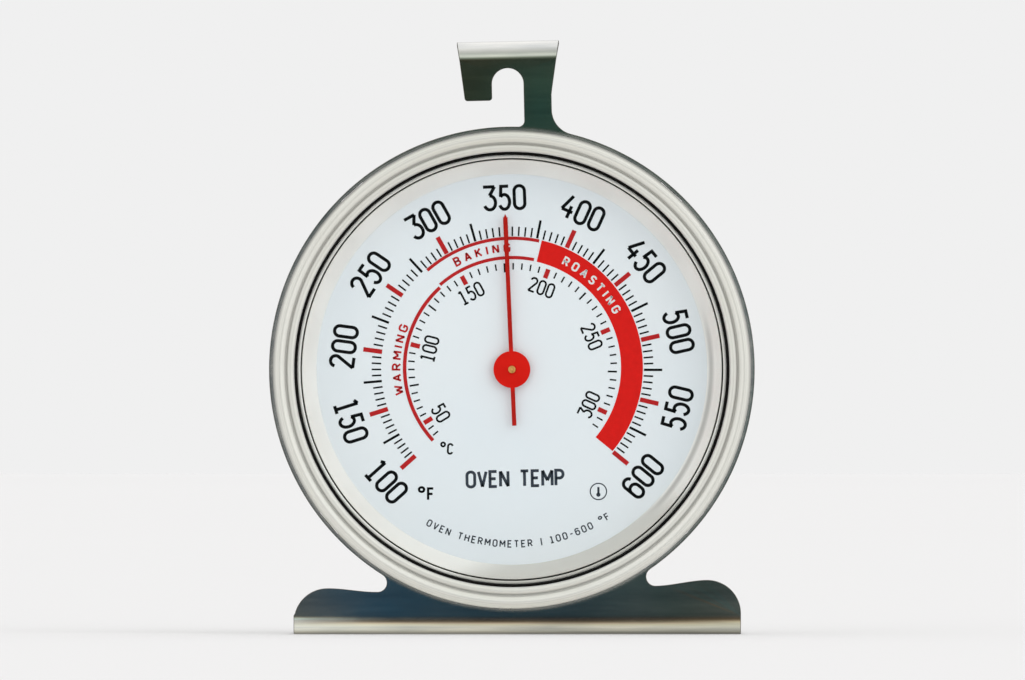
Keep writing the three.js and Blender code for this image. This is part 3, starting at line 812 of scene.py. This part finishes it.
SHEET, BRIDGE = 0.45, 0.8  # thicknesses
GASKET_INNER_R, GASKET_OUTER_R = 40.93, 43.4
PAN_R, PAN_REAR_R, PAN_FLANGE_R = 41.4, 38.95, 44.3
PAN_SHOULDER_D, PAN_BACK_D, PAN_CORNER_R = 3.7, 14.5, 1.6
VENT_COUNT, VENT_INNER_R, VENT_OUTER_R, VENT_HALF_ANGLE = 6, 27.5, 30.5, 17
BUSH_R, FIT, GAP = 1.55, 0.03, 0.05
RIVET_X, POST_Z = 21, 16.5
BEZEL_R, LIP_R = 45.4, 41.33
INNER_BEAD, OUTER_BEAD = (42.13, -3.45, 0.8), (44.17, -3.46, 1.23)
GLASS_FRONT, GLASS_REAR = depth_span("glass_lens")
DIAL_FRONT = depth_span("dial_plate")[0]


def make_pan():
    rear = PAN_BACK_D + SHEET
    corner = (PAN_REAR_R - PAN_CORNER_R, rear - PAN_CORNER_R)
    profile = [
        (PAN_FLANGE_R, -SHEET),
        (PAN_FLANGE_R, -GAP),
        (PAN_R, -GAP),
        (PAN_R, PAN_SHOULDER_D + SHEET),
        (PAN_REAR_R, PAN_SHOULDER_D + SHEET),
        *arc(*corner, PAN_CORNER_R, 0, 90, 10),
        (BUSH_R + FIT, rear),
        (BUSH_R + FIT, PAN_BACK_D),
        *arc(*corner, PAN_CORNER_R - SHEET, 90, 0, 10),
        (PAN_REAR_R - SHEET, PAN_SHOULDER_D),
        (PAN_R - SHEET, PAN_SHOULDER_D),
        (PAN_R - SHEET, -SHEET),
    ]
    solid = Solid()
    solid.lathe(eased(profile, 0.25))
    cutters = Solid()
    middle, end_r = (VENT_INNER_R + VENT_OUTER_R) / 2, (VENT_OUTER_R - VENT_INNER_R) / 2
    for i in range(VENT_COUNT):
        at = 30 + i * 360 / VENT_COUNT
        start, end = at - VENT_HALF_ANGLE, at + VENT_HALF_ANGLE
        (first,), (last,) = arc(0, 0, middle, start, start)[:1], arc(0, 0, middle, end, end)[:1]
        outline = [
            *arc(0, 0, VENT_OUTER_R, start, end, 2),
            *arc(*last, end_r, end, end + 180, 15)[1:-1],
            *arc(0, 0, VENT_INNER_R, end, start, 2),
            *arc(*first, end_r, start + 180, start + 360, 15)[1:-1],
        ]
        cutters.plate(outline, PAN_BACK_D - 1, rear + 1)
    cutter_mesh = bpy.data.meshes.new("vents")
    cutter_mesh.from_pydata([place(*v) for v in cutters.verts], [], cutters.faces)
    cutter = bpy.data.objects.new("vents", cutter_mesh)
    bpy.context.scene.collection.objects.link(cutter)
    solid.piece("pan", PAN_STEEL, "satin_steel", replaces=["case_pan"], cutter=cutter)


def make_bezel():
    lip_d = GLASS_FRONT - 0.55
    solid = Solid()
    (ir, idp, ib), (orad, odp, ob) = INNER_BEAD, OUTER_BEAD
    profile = [
        (LIP_R, lip_d),
        *arc(ir, idp, ib, 180, 356, 8),
        *arc(orad, odp, ob, 184, 360, 8),
        (BEZEL_R, -GAP),
        (BEZEL_R - SHEET, -GAP),
        *arc(orad, odp, ob - SHEET, 360, 220, 10),
        *arc(ir, idp, ib - SHEET, 320, 180, 12),
        (LIP_R + SHEET, lip_d),
    ]
    solid.lathe(eased(profile, 0.12), segments=320)
    outer, inner = BEZEL_R - GAP, BEZEL_R - SHEET
    bend_d = PLATE + GAP
    path = [
        (inner, -1),
        (outer, -1),
        *arc(outer - SHEET, bend_d, SHEET, 0, 90, 15),
        (TAB_END_R, bend_d + SHEET),
        (TAB_END_R, bend_d),
        (inner, bend_d),
    ]
    for angle in TAB_ANGLES:
        c, s = math.cos(math.radians(angle)), math.sin(math.radians(angle))
        solid.bar(path, -TAB_HALF, TAB_HALF, lambda x, r, d, c=c, s=s: (x * c + r * s, d, r * c - x * s))
    solid.piece("bezel", BEZEL_STEEL, "bezel_steel", replaces=["bezel_ring"])


def make_gasket():
    front, rear = depth_span("lens_gasket")
    inner, outer = GASKET_INNER_R, GASKET_OUTER_R
    solid = Solid()
    solid.lathe(eased([(inner, front), (outer, front), (outer, rear), (inner, rear)], 0.08))
    solid.piece("gasket", RUBBER, "black_rubber", replaces=["lens_gasket"])


def make_glass():
    solid = Solid()
    outer = radius("glass_lens")
    edge = 0.25
    solid.lathe([
        (0, GLASS_FRONT),
        (outer - edge, GLASS_FRONT),
        (outer, GLASS_FRONT + edge),
        (outer, GLASS_REAR - edge),
        (outer - edge, GLASS_REAR),
        (0, GLASS_REAR),
    ])
    solid.piece("lens", GLASS, "clear_glass", replaces=["glass_lens"])


def make_spacer():
    """A folded ring: a bright rolled lip, a groove with painted shade and a cone down to the dial."""
    top, bottom = depth_span("spacer_ring")
    profile = [
        (37.1, bottom),
        (39.84, top + 0.32),
        (39.95, top + 0.95),
        (40.14, top + 0.95),
        (40.2, top + 0.12),
        (40.4, top),
        (40.71, top),
        (40.8, top + 0.12),
        (40.77, top + 1.2),
        (39.9, top + 1.35),
        (37.75, bottom),
    ]
    solid = Solid()
    solid.lathe(eased(profile, 0.07))
    # Painted shade: the groove's faces take the black rubber, to darken the recess.
    for i, face in enumerate(solid.faces):
        corners = [solid.verts[k] for k in face]
        if all(39.9 < math.hypot(x, z) < 40.24 and d > top + 0.2 for x, d, z in corners):
            solid.cut_faces.add(i)
    solid.piece("spacer", ALUMINIUM, "anodised_aluminium", replaces=["spacer_ring"], shade_material=RUBBER)


# ---- Dial print ----

INK_DEPTH = 0.02
PRINT_LIFT, PRINT_SHIFT = 0.38, 0.13  # the print sits a little high and right on its dial
MINOR, MEDIUM, MAJOR = 5, 25, 50  # degrees of temperature between the marks


def printed(r, angle):
    a = math.radians(angle)
    return on_dial(r + PRINT_LIFT * math.cos(a) + PRINT_SHIFT * math.sin(a), angle)


def fahrenheit_angle(value):
    """Where a Fahrenheit temperature stands on the dial. The coil isn't quite even."""
    x = (value - 350) / 250
    return -2.49 + 134.12 * x - 1.06 * x**2 - 3.65 * x**3 + 2.25 * x**4


def celsius_angle(value):
    return fahrenheit_angle(value * 1.8 + 32)


BOWL = 0.225  # half the width of a figure whose height is 1
WIDE = 0.23  # and of a round letter


def bowl(r=BOWL):
    """The two round ends of an upright oblong figure, as far as they go round it."""
    return arc(r, 1 - r, r, 180, 0, 15) + arc(r, r, r, 0, -180, 15)


GLYPHS = {
    "0": [bowl()],
    "1": [[(0.03, 0.88), (0.2, 1), (0.2, 0)], [(0.02, 0), (0.38, 0)]],
    "2": [[*arc(BOWL, 1 - BOWL, BOWL, 175, -25, 15), (0.01, 0), (0.46, 0)]],
    "3": [[(0, 1), (0.5, 1), (0.27, 0.61), *oval(0.27, 0.305, 0.25, 0.305, 75, -155)]],
    "4": [[(0.27, 1), (0, 0.31), (0.5, 0.31)], [(0.36, 0.56), (0.36, 0)]],
    "5": [[(0.4, 1), (0.08, 1), (0.05, 0.54), *oval(0.21, 0.32, 0.225, 0.32, 125, -155)]],
    "6": [[*arc(BOWL, 1 - BOWL, BOWL, 15, 180, 15), *arc(BOWL, BOWL, BOWL, 180, 360, 15),
           *arc(BOWL, 0.41, BOWL, 0, 165, 15)]],
    "A": [[(0, 0), (0.24, 1), (0.48, 0)], [(0.08, 0.3), (0.4, 0.3)]],
    "B": [[(0.22, 0.53), *oval(0.22, 0.765, 0.19, 0.235, -90, 90), (0, 1), (0, 0),
           *oval(0.23, 0.265, 0.21, 0.265, -90, 90), (0, 0.53)]],
    "C": [[*arc(WIDE, 1 - WIDE, WIDE, 12, 180, 15), *arc(WIDE, WIDE, WIDE, 180, 348, 15)]],
    "E": [[(0.4, 1), (0, 1), (0, 0), (0.4, 0)], [(0, 0.52), (0.34, 0.52)]],
    "F": [[(0.4, 1), (0, 1), (0, 0)], [(0, 0.52), (0.34, 0.52)]],
    "G": [[*arc(WIDE, 1 - WIDE, WIDE, 12, 180, 15), *arc(WIDE, WIDE, WIDE, 180, 360, 15),
           (2 * WIDE, 0.47), (0.25, 0.47)]],
    "H": [[(0, 0), (0, 1)], [(0.46, 0), (0.46, 1)], [(0, 0.52), (0.46, 0.52)]],
    "I": [[(0, 0), (0, 1)]],
    "K": [[(0, 0), (0, 1)], [(0.43, 1), (0.02, 0.42)], [(0.15, 0.58), (0.46, 0)]],
    "L": [[(0, 1), (0, 0), (0.38, 0)]],
    "M": [[(0, 0), (0, 1), (0.28, 0.34), (0.56, 1), (0.56, 0)]],
    "N": [[(0, 0), (0, 1), (0.45, 0), (0.45, 1)]],
    "O": [bowl(WIDE)],
    "R": [[(0, 0), (0, 1), *oval(0.22, 0.745, 0.21, 0.255, 90, -90), (0, 0.49)], [(0.22, 0.49), (0.45, 0)]],
    "P": [[(0, 0), (0, 1), *oval(0.22, 0.74, 0.21, 0.26, 90, -90), (0, 0.48)]],
    "S": [[*oval(0.22, 0.755, 0.21, 0.245, 20, 235), *oval(0.22, 0.255, 0.22, 0.255, 55, -160)]],
    "T": [[(0, 1), (0.46, 1)], [(0.23, 1), (0.23, 0)]],
    "V": [[(0, 1), (0.23, 0), (0.46, 1)]],
    "W": [[(0, 1), (0.17, 0), (0.34, 0.8), (0.51, 0), (0.68, 1)]],
    "|": [[(0.05, -0.1), (0.05, 1.05)]],
    "-": [[(0.05, 0.5), (0.35, 0.5)]],
    "°": [circle(0.2, 0.9, 0.2, 20)],
}
LOOPS = {"0", "O", "°"}
SPACE_WIDTH = 0.3


def glyph_width(character):
    if character not in GLYPHS:
        return SPACE_WIDTH
    return max(x for stroke in GLYPHS[character] for x, _ in stroke)


SHARP_TURN = math.radians(100)


class Print(Solid):
    """Ink of one colour on the dial's face."""

    def __init__(self, layer=0):
        super().__init__()
        self.rear = DIAL_FRONT - 0.004 - layer * INK_DEPTH
        self.front = self.rear - INK_DEPTH

    def line(self, points, width, closed=False):
        """A line of ink. It's drawn in parts that meet where the path turns back sharply."""
        if closed:
            self.ribbon(points, width, self.front, self.rear, closed=True)
            return
        points = points[:1] + [q for p, q in zip(points, points[1:]) if math.dist(p, q) > 1e-4]
        part = [points[0]]
        for i in range(1, len(points)):
            part.append(points[i])
            here = Vector(points[i])
            last = i == len(points) - 1
            if last or (here - Vector(points[i - 1])).angle(Vector(points[i + 1]) - here) > SHARP_TURN:
                self.ribbon(part, width, self.front, self.rear)
                part = [points[i]]

    def band(self, r, width, start, end):
        count = max(2, round(abs(end - start) / 1.5))
        angles = [start + (end - start) * i / count for i in range(count + 1)]
        self.line([printed(r, a) for a in angles], width)

    def tick(self, angle, r0, r1, width):
        self.line([printed(r0, angle), printed(r1, angle)], width)

    def glyph(self, character, height, stroke, where):
        """Draws one character, with where() taking its own x and z to the dial."""
        for path in GLYPHS.get(character, []):
            points = [where(x * height, z * height) for x, z in path]
            self.line(points, stroke, closed=character in LOOPS)

    def label(self, text, height, stroke, centre, turned_by, advance=None, gap=0.0, wide=1.0):
        """A straight word about a centre, turned clockwise by some degrees. Its characters stand in
        even cells if there's an advance, and with even gaps if not."""
        widths = [glyph_width(c) * height * wide for c in text]
        if advance:
            starts = [(i - (len(text) - 1) / 2) * advance - w / 2 for i, w in enumerate(widths)]
        else:
            total = sum(widths) + gap * (len(text) - 1)
            starts = [sum(widths[:i]) + gap * i - total / 2 for i in range(len(text))]
        for character, start in zip(text, starts):
            def where(x, z, start=start):
                (u, v), = turn([(start + x * wide, z - height / 2)], -turned_by)
                return centre[0] + u, centre[1] + v
            self.glyph(character, height, stroke, where)

    def curved(self, text, height, stroke, r, start, end, outward=True, wide=1.0):
        """A word along a circle between two angles, its tops away from the centre or towards it."""
        widths = [glyph_width(c) * height * wide for c in text]
        total, middle = math.radians(end - start) * r, (start + end) / 2
        gap = (total - sum(widths)) / (len(text) - 1)
        sign = 1 if outward else -1
        along = -total / 2
        for character, width in zip(text, widths):
            angle = middle + sign * math.degrees((along + width / 2) / r)
            centre = printed(r, angle)
            facing = angle if outward else angle + 180
            self.label(character, height, stroke, centre, facing, wide=wide)
            along += width + gap


def upright(angle):
    """The turn of a label on the dial: its top faces out above the middle and in below it."""
    return angle if abs(angle) < 90 else angle + 180


FIGURE, SMALL_FIGURE = (4.36, 0.62, 32.3, 2.86), (2.6, 0.37, 16.15, 1.72)  # height, stroke, radius, advance
OUTER_R, INNER_R = 24.98, 19.86  # where the two scales' marks start
# The major, medium and minor marks: the radii that each runs between, and its width.
OUTER_MARKS = [
    (OUTER_R, OUTER_R + 3.6, 0.86), (OUTER_R, OUTER_R + 3.48, 0.46), (OUTER_R, OUTER_R + 1.8, 0.31),
]
INNER_MARKS = [
    (INNER_R - 1.8, INNER_R, 0.88), (INNER_R - 1.75, INNER_R, 0.34), (INNER_R - 1.24, INNER_R, 0.29),
]
BAND_R, BAND_WIDTH = 22.7, 4.18


def print_scale(black, red, values, angle_of, figure, marks):
    height, stroke, r, advance = figure
    major, medium, minor = marks
    for value in values:
        angle = angle_of(value)
        if value % MAJOR == 0:
            red.tick(angle, *major)
            black.label(str(value), height, stroke, printed(r, angle), upright(angle), advance)
        else:
            black.tick(angle, *(minor if value % MEDIUM else medium))


def print_zones(red, dark_red, white):
    dark_red.band(20.52, 0.68, -132, -41.3)
    dark_red.band(24.57, 0.62, -40.5, 12)
    dark_red.band(20.9, 0.62, -40.3, 11.4)
    red.band(BAND_R, BAND_WIDTH, 13, 129)
    dark_red.curved("WARMING", 1.45, 0.36, 22.05, -102.4, -67.8, wide=1.6)
    dark_red.curved("BAKING", 1.45, 0.36, 22.75, -28, -1.1, wide=1.45)
    white.curved("ROASTING", 1.45, 0.36, 22.55, 25.6, 61.2, wide=1.4)


def print_symbol(slate):
    """A plain round sign with a thermometer in it."""
    x, z = 16.45, -23.2
    slate.line(circle(x, z, 1.55, 10), 0.22, closed=True)
    slate.line([(x, z - 0.55), (x, z + 0.85)], 0.42)
    slate.line(circle(x, z - 0.6, 0.2, 30), 0.4, closed=True)


def print_dial():
    black, slate, red, dark_red = Print(), Print(), Print(), Print(1)
    white = Print(2)
    print_scale(black, dark_red, range(100, 601, MINOR), fahrenheit_angle, FIGURE, OUTER_MARKS)
    print_scale(black, dark_red, range(40, 311, MINOR), celsius_angle, SMALL_FIGURE, INNER_MARKS)
    print_zones(red, dark_red, white)
    black.label("°F", 2.15, 0.45, (-16.3, -23.7), 0, gap=0.75, wide=1.15)
    black.label("°C", 1.85, 0.36, (-12.4, -15.05), 4, gap=0.6, wide=1.0)
    slate.label("OVEN TEMP", 2.85, 0.56, (0.6, -20.75), -1.2, gap=0.72, wide=1.12)
    slate.curved("OVEN THERMOMETER | 100-600 °F", 1.2, 0.24, 33.55, 146.6, 208.8, outward=False, wide=1.3)
    print_symbol(slate)
    black.piece("print_black", BLACK_INK, "black_rubber")
    slate.piece("print_slate", SLATE_INK, "black_rubber")
    red.piece("print_red", RED_INK, "red_paint")
    dark_red.piece("print_dark_red", DARK_RED_INK, "red_paint")
    white.piece("print_white", WHITE_INK, "white_enamel")


# ---- Pointer and movement ----

POINTER_REST = -2.5
NEEDLE_LENGTH, NEEDLE_TAIL, NEEDLE_HALF, NEEDLE_POINT, HUB_R = 29.6, 10.7, 0.41, 0.9, 3.5
STAFF_R, PIP_R, PIP_DEPTH = 0.7, 0.18, 0.2
COIL_INNER_R, COIL_OUTER_R, COIL_TURNS, COIL_STRIP = 2.6, 12.5, 4.5, 0.3


def make_pointer():
    front, rear = depth_span("pointer")
    join = math.degrees(math.asin(NEEDLE_HALF / HUB_R))
    outline = [
        (0, NEEDLE_LENGTH),
        (-NEEDLE_HALF, NEEDLE_LENGTH - NEEDLE_POINT),
        *arc(0, 0, HUB_R, 90 + join, 270 - join, 4),
        (-NEEDLE_HALF, -NEEDLE_TAIL),
        (NEEDLE_HALF, -NEEDLE_TAIL),
        *arc(0, 0, HUB_R, 270 + join, 450 - join, 4),
        (NEEDLE_HALF, NEEDLE_LENGTH - NEEDLE_POINT),
    ]
    solid = Solid()
    hole = circle(0, 0, STAFF_R + FIT, 12)
    solid.plate(turn(outline, -POINTER_REST), front, rear, [hole], chamfer=0.08)
    solid.piece("needle", RED_PAINT, "red_paint", POINTER_BODY, ["pointer"])


def make_staff():
    front, rear = depth_span("pointer_staff")
    solid = Solid()
    solid.lathe([
        (0, front + PIP_DEPTH),
        (PIP_R, front + 0.03),
        (PIP_R + 0.05, front),
        (STAFF_R - 0.14, front),
        (STAFF_R - 0.04, front + 0.04),
        (STAFF_R, front + 0.14),
        (STAFF_R, rear - 0.1),
        (STAFF_R - 0.1, rear),
        (0, rear),
    ], segments=48)
    solid.piece("staff", BRASS, "brass", POINTER_BODY, ["pointer_staff"])


def make_coil():
    """A flat spiral strip. It winds evenly between the collet, which turns, and the post."""
    front, rear = depth_span("bimetal_coil")
    steps = round(COIL_TURNS * 60)
    spiral = []
    for i in range(steps + 1):
        share = i / steps
        r = COIL_INNER_R + (COIL_OUTER_R - COIL_INNER_R) * share
        spiral.append(on_dial(r, 180 + COIL_TURNS * 360 * share))
    path = [(0, -1.2), *spiral, (0, POST_Z + 1.4)]
    shares = [0, *[i / steps for i in range(steps + 1)], 1]
    solid = Solid()
    solid.ribbon(path, COIL_STRIP, front, rear)
    coil = solid.piece("coil", BIMETAL, "bimetal", replaces=["bimetal_coil"])
    coil.parent = None
    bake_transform(coil, POINTER_BODY, HOUSING, start=place(0, front, 0), end=place(0, front, COIL_OUTER_R))
    weights = coil.data.attributes["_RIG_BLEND"].data
    for i, share in enumerate(shares):
        for corner in range(4):
            weights[4 * i + corner].value = share


def make_back_rivets():
    head, tail = PAN_BACK_D - 2 * GAP - BRIDGE, PAN_BACK_D + SHEET + GAP
    profile = [(0, head - 0.65), (1.5, head - 0.6), (2.1, head), (1.1, head), (1.1, tail), (2, tail),
               (1.85, tail + 0.3), (1.3, tail + 0.55), (0, tail + 0.6)]
    for side, x in (("left", -RIVET_X), ("right", RIVET_X)):
        solid = Solid()
        solid.lathe(eased(profile, 0.15, closed=False), segments=64, centre=(x, 0))
        solid.piece(f"rivet_{side}", SMALL_STEEL, "satin_steel", replaces=[f"bridge_rivet_{side}"])


for name, material in {
    "dial_plate": ENAMEL,
    "movement_bridge": SMALL_STEEL,
    "front_bush": BRASS,
    "rear_bush": BRASS,
    "coil_post": SMALL_STEEL,
    "pointer_bush": BRASS,
    "staff_clip": SMALL_STEEL,
    "coil_collet": BRASS,
    "thrust_washer": BRASS,
}.items():
    slots = frame["nodes"][name].data.materials
    slots.clear()
    slots.append(material)

make_plate()
make_pan()
make_bezel()
make_gasket()
make_glass()
make_spacer()
print_dial()
make_pointer()
make_staff()
make_coil()
make_back_rivets()

# ---- Studio ----

BACKDROP = 0.871  # the plain pale tone behind and under the object
FLOOR = (0.833, 0.825, 0.849)
FILL_STRENGTH = 1.36


def make_floor():
    bpy.ops.mesh.primitive_plane_add(size=12, location=(0, 0, 0))
    floor = bpy.context.object
    floor.name = "floor"
    finish = Finish("floor", FLOOR, 0.9, Specular_IOR_Level=0.0)
    deeper = tuple(c * 0.995 for c in FLOOR)
    finish.tinted(finish.cloud(0.8, 2), deeper, FLOOR)
    floor.data.materials.append(finish.material)
    floor.visible_glossy = False


# What the steel mirrors, by the sine of the height: a dim room in front, brightening above and below.
FRONT_SKY = [
    (-1.0, 0.62, 0.61, 0.52), (-0.985, 0.68, 0.65, 0.55), (-0.927, 0.70, 0.66, 0.49),
    (-0.891, 0.64, 0.58, 0.41), (-0.839, 0.53, 0.43, 0.30), (-0.777, 0.29, 0.22, 0.146),
    (-0.707, 0.11, 0.088, 0.056), (-0.643, 0.068, 0.054, 0.038), (-0.47, 0.050, 0.046, 0.041),
    (-0.342, 0.026, 0.036, 0.040), (-0.14, 0.026, 0.055, 0.070), (0.0, 0.034, 0.062, 0.066),
    (0.12, 0.034, 0.080, 0.062), (0.24, 0.036, 0.044, 0.027), (0.326, 0.12, 0.14, 0.10),
    (0.423, 0.22, 0.25, 0.18), (0.515, 0.60, 0.65, 0.52), (0.60, 0.98, 1.01, 0.87),
    (0.682, 0.88, 0.91, 0.78), (0.81, 0.67, 0.69, 0.61), (0.9135, 0.71, 0.715, 0.655),
    (0.978, 0.84, 0.84, 0.80), (1.0, 0.95, 0.955, 0.92),
]
SIDE_SKY = [
    (-1, 0.72, 0.71, 0.66), (-0.3, 0.88, 0.88, 0.84), (0.2, 0.95, 0.95, 0.93), (1, 1.0, 1.0, 0.97),
]
BACK_SKY = [
    (-1, 0.62, 0.61, 0.52), (-0.85, 0.4, 0.39, 0.32), (-0.6, 0.2, 0.19, 0.16), (-0.3, 0.3, 0.3, 0.28),
    (0.0, 0.5, 0.5, 0.49), (0.3, 0.8, 0.8, 0.79), (0.6, 1.06, 1.06, 1.04), (1, 1.06, 1.06, 1.03),
]
# How the mirrored colours change with the side: low down in front, at the hook, low down behind, and in
# between, at the height of the plate. They run over TINT_SPAN to either side, and meet at these heights.
TINT_SPAN = 0.2
LOW_TO_DIM, DIM_TO_HOOK, HOOK_TO_PLAIN, BACK_TO_UNDER = (-0.6, -0.45), (0.06, 0.13), (0.27, 0.4), (-0.3, -0.5)
# How much higher the mirrored room stands at its left and right ends, and where each rise starts and ends.
LEFT_LIFT, RIGHT_LIFT = (0.45, -0.104, -0.128), (0.19, 0.1, 0.128)
LOW_TINT = [
    (-0.13, 1.42, 1.5, 1.66), (-0.095, 1.3, 1.36, 1.45), (-0.05, 1.1, 1.14, 1.17),
    (0.0, 1.02, 1.02, 1.02), (0.05, 0.98, 0.98, 0.98), (0.1, 1.06, 1.06, 1.03),
    (0.125, 1.32, 1.32, 1.22),
]
HOOK_TINT = [
    (-0.05, 0.95, 0.62, 0.45), (-0.02, 0.68, 0.44, 0.32), (0.0, 0.72, 0.72, 0.62),
    (0.014, 0.6, 1.25, 1.45), (0.026, 0.75, 1.1, 1.15), (0.04, 1.1, 0.85, 0.65),
    (0.07, 1.3, 0.95, 0.75),
]
UNDER_TINT = [
    (-0.13, 1.9, 1.9, 1.95), (-0.095, 1.8, 1.8, 1.85), (-0.05, 1.25, 1.25, 1.25), (0.0, 1.0, 1.0, 1.0),
    (0.05, 0.72, 0.72, 0.72), (0.1, 0.97, 0.97, 0.97), (0.125, 1.08, 1.08, 1.08),
]
DIM_TINT = [
    (-0.155, 3.2, 3.1, 2.9), (-0.13, 0.95, 1.75, 2.4), (-0.05, 0.8, 0.95, 1.1),
    (0.03, 0.75, 0.78, 0.8), (0.08, 1.25, 1.05, 0.85), (0.13, 1.0, 0.9, 0.55), (0.155, 3.2, 2.9, 2.4),
]
ROOM_EDGE = (0.19, 0.33)  # how far to the side the dim room fades out


def make_world():
    """Soft light from all round, with a dim room in front of the dial for the steel to mirror."""
    world = bpy.data.worlds.new("studio")
    bpy.context.scene.world = world
    sky = Graph(world)
    split = sky.node("SeparateXYZ")
    sky.links.new(sky.node("TexCoord").outputs["Generated"], split.inputs[0])
    x, y, z = split.outputs
    lift = sky.math("ADD", sky.ranged(x, 0, *LEFT_LIFT), sky.ranged(x, 0, *RIGHT_LIFT))
    room = sky.ramp(sky.math("SUBTRACT", z, lift), -1, 1, FRONT_SKY)
    tables = (LOW_TINT, DIM_TINT, HOOK_TINT, UNDER_TINT)
    tint, middle, high, below = (sky.ramp(x, -TINT_SPAN, TINT_SPAN, stops) for stops in tables)
    for heights, above in ((LOW_TO_DIM, middle), (DIM_TO_HOOK, high), (HOOK_TO_PLAIN, (1.0, 1.0, 1.0))):
        tint = sky.mixed(sky.ranged(z, 0, 1, *heights), tint, above)
    front = sky.multiplied(room, tint)
    aside = sky.ranged(sky.math("ABSOLUTE", x), 0, 1, *ROOM_EDGE, smooth=True)
    front = sky.mixed(aside, front, sky.ramp(z, -1, 1, SIDE_SKY))
    behind = sky.ranged(y, 0, 1, -0.05, 0.1, smooth=True)
    under = sky.mixed(sky.ranged(z, 0, 1, *BACK_TO_UNDER), (1.0, 1.0, 1.0), below)
    around = sky.mixed(behind, front, sky.multiplied(sky.ramp(z, -1, 1, BACK_SKY), under))
    lit = sky.nodes["Background"]
    sky.links.new(around, lit.inputs["Color"])
    seen = sky.node("Background", Color=(BACKDROP, BACKDROP, BACKDROP, 1))
    mix = sky.node("MixShader")
    sky.links.new(sky.node("LightPath").outputs["Is Camera Ray"], mix.inputs[0])
    sky.links.new(lit.outputs[0], mix.inputs[1])
    sky.links.new(seen.outputs[0], mix.inputs[2])
    sky.links.new(mix.outputs[0], sky.nodes["World Output"].inputs["Surface"])


def make_fill():
    """A very soft light from the front right, seen by matt surfaces only."""
    light = bpy.data.lights.new("fill", "SUN")
    light.angle, light.energy = math.radians(100), FILL_STRENGTH
    fill = bpy.data.objects.new("fill", light)
    fill.rotation_euler = Vector((-0.4, 1.0, -0.25)).to_track_quat("-Z", "Y").to_euler()
    fill.visible_glossy = False
    bpy.context.scene.collection.objects.link(fill)


make_floor()
make_world()
make_fill()
bpy.context.scene.view_settings.view_transform = "Standard"
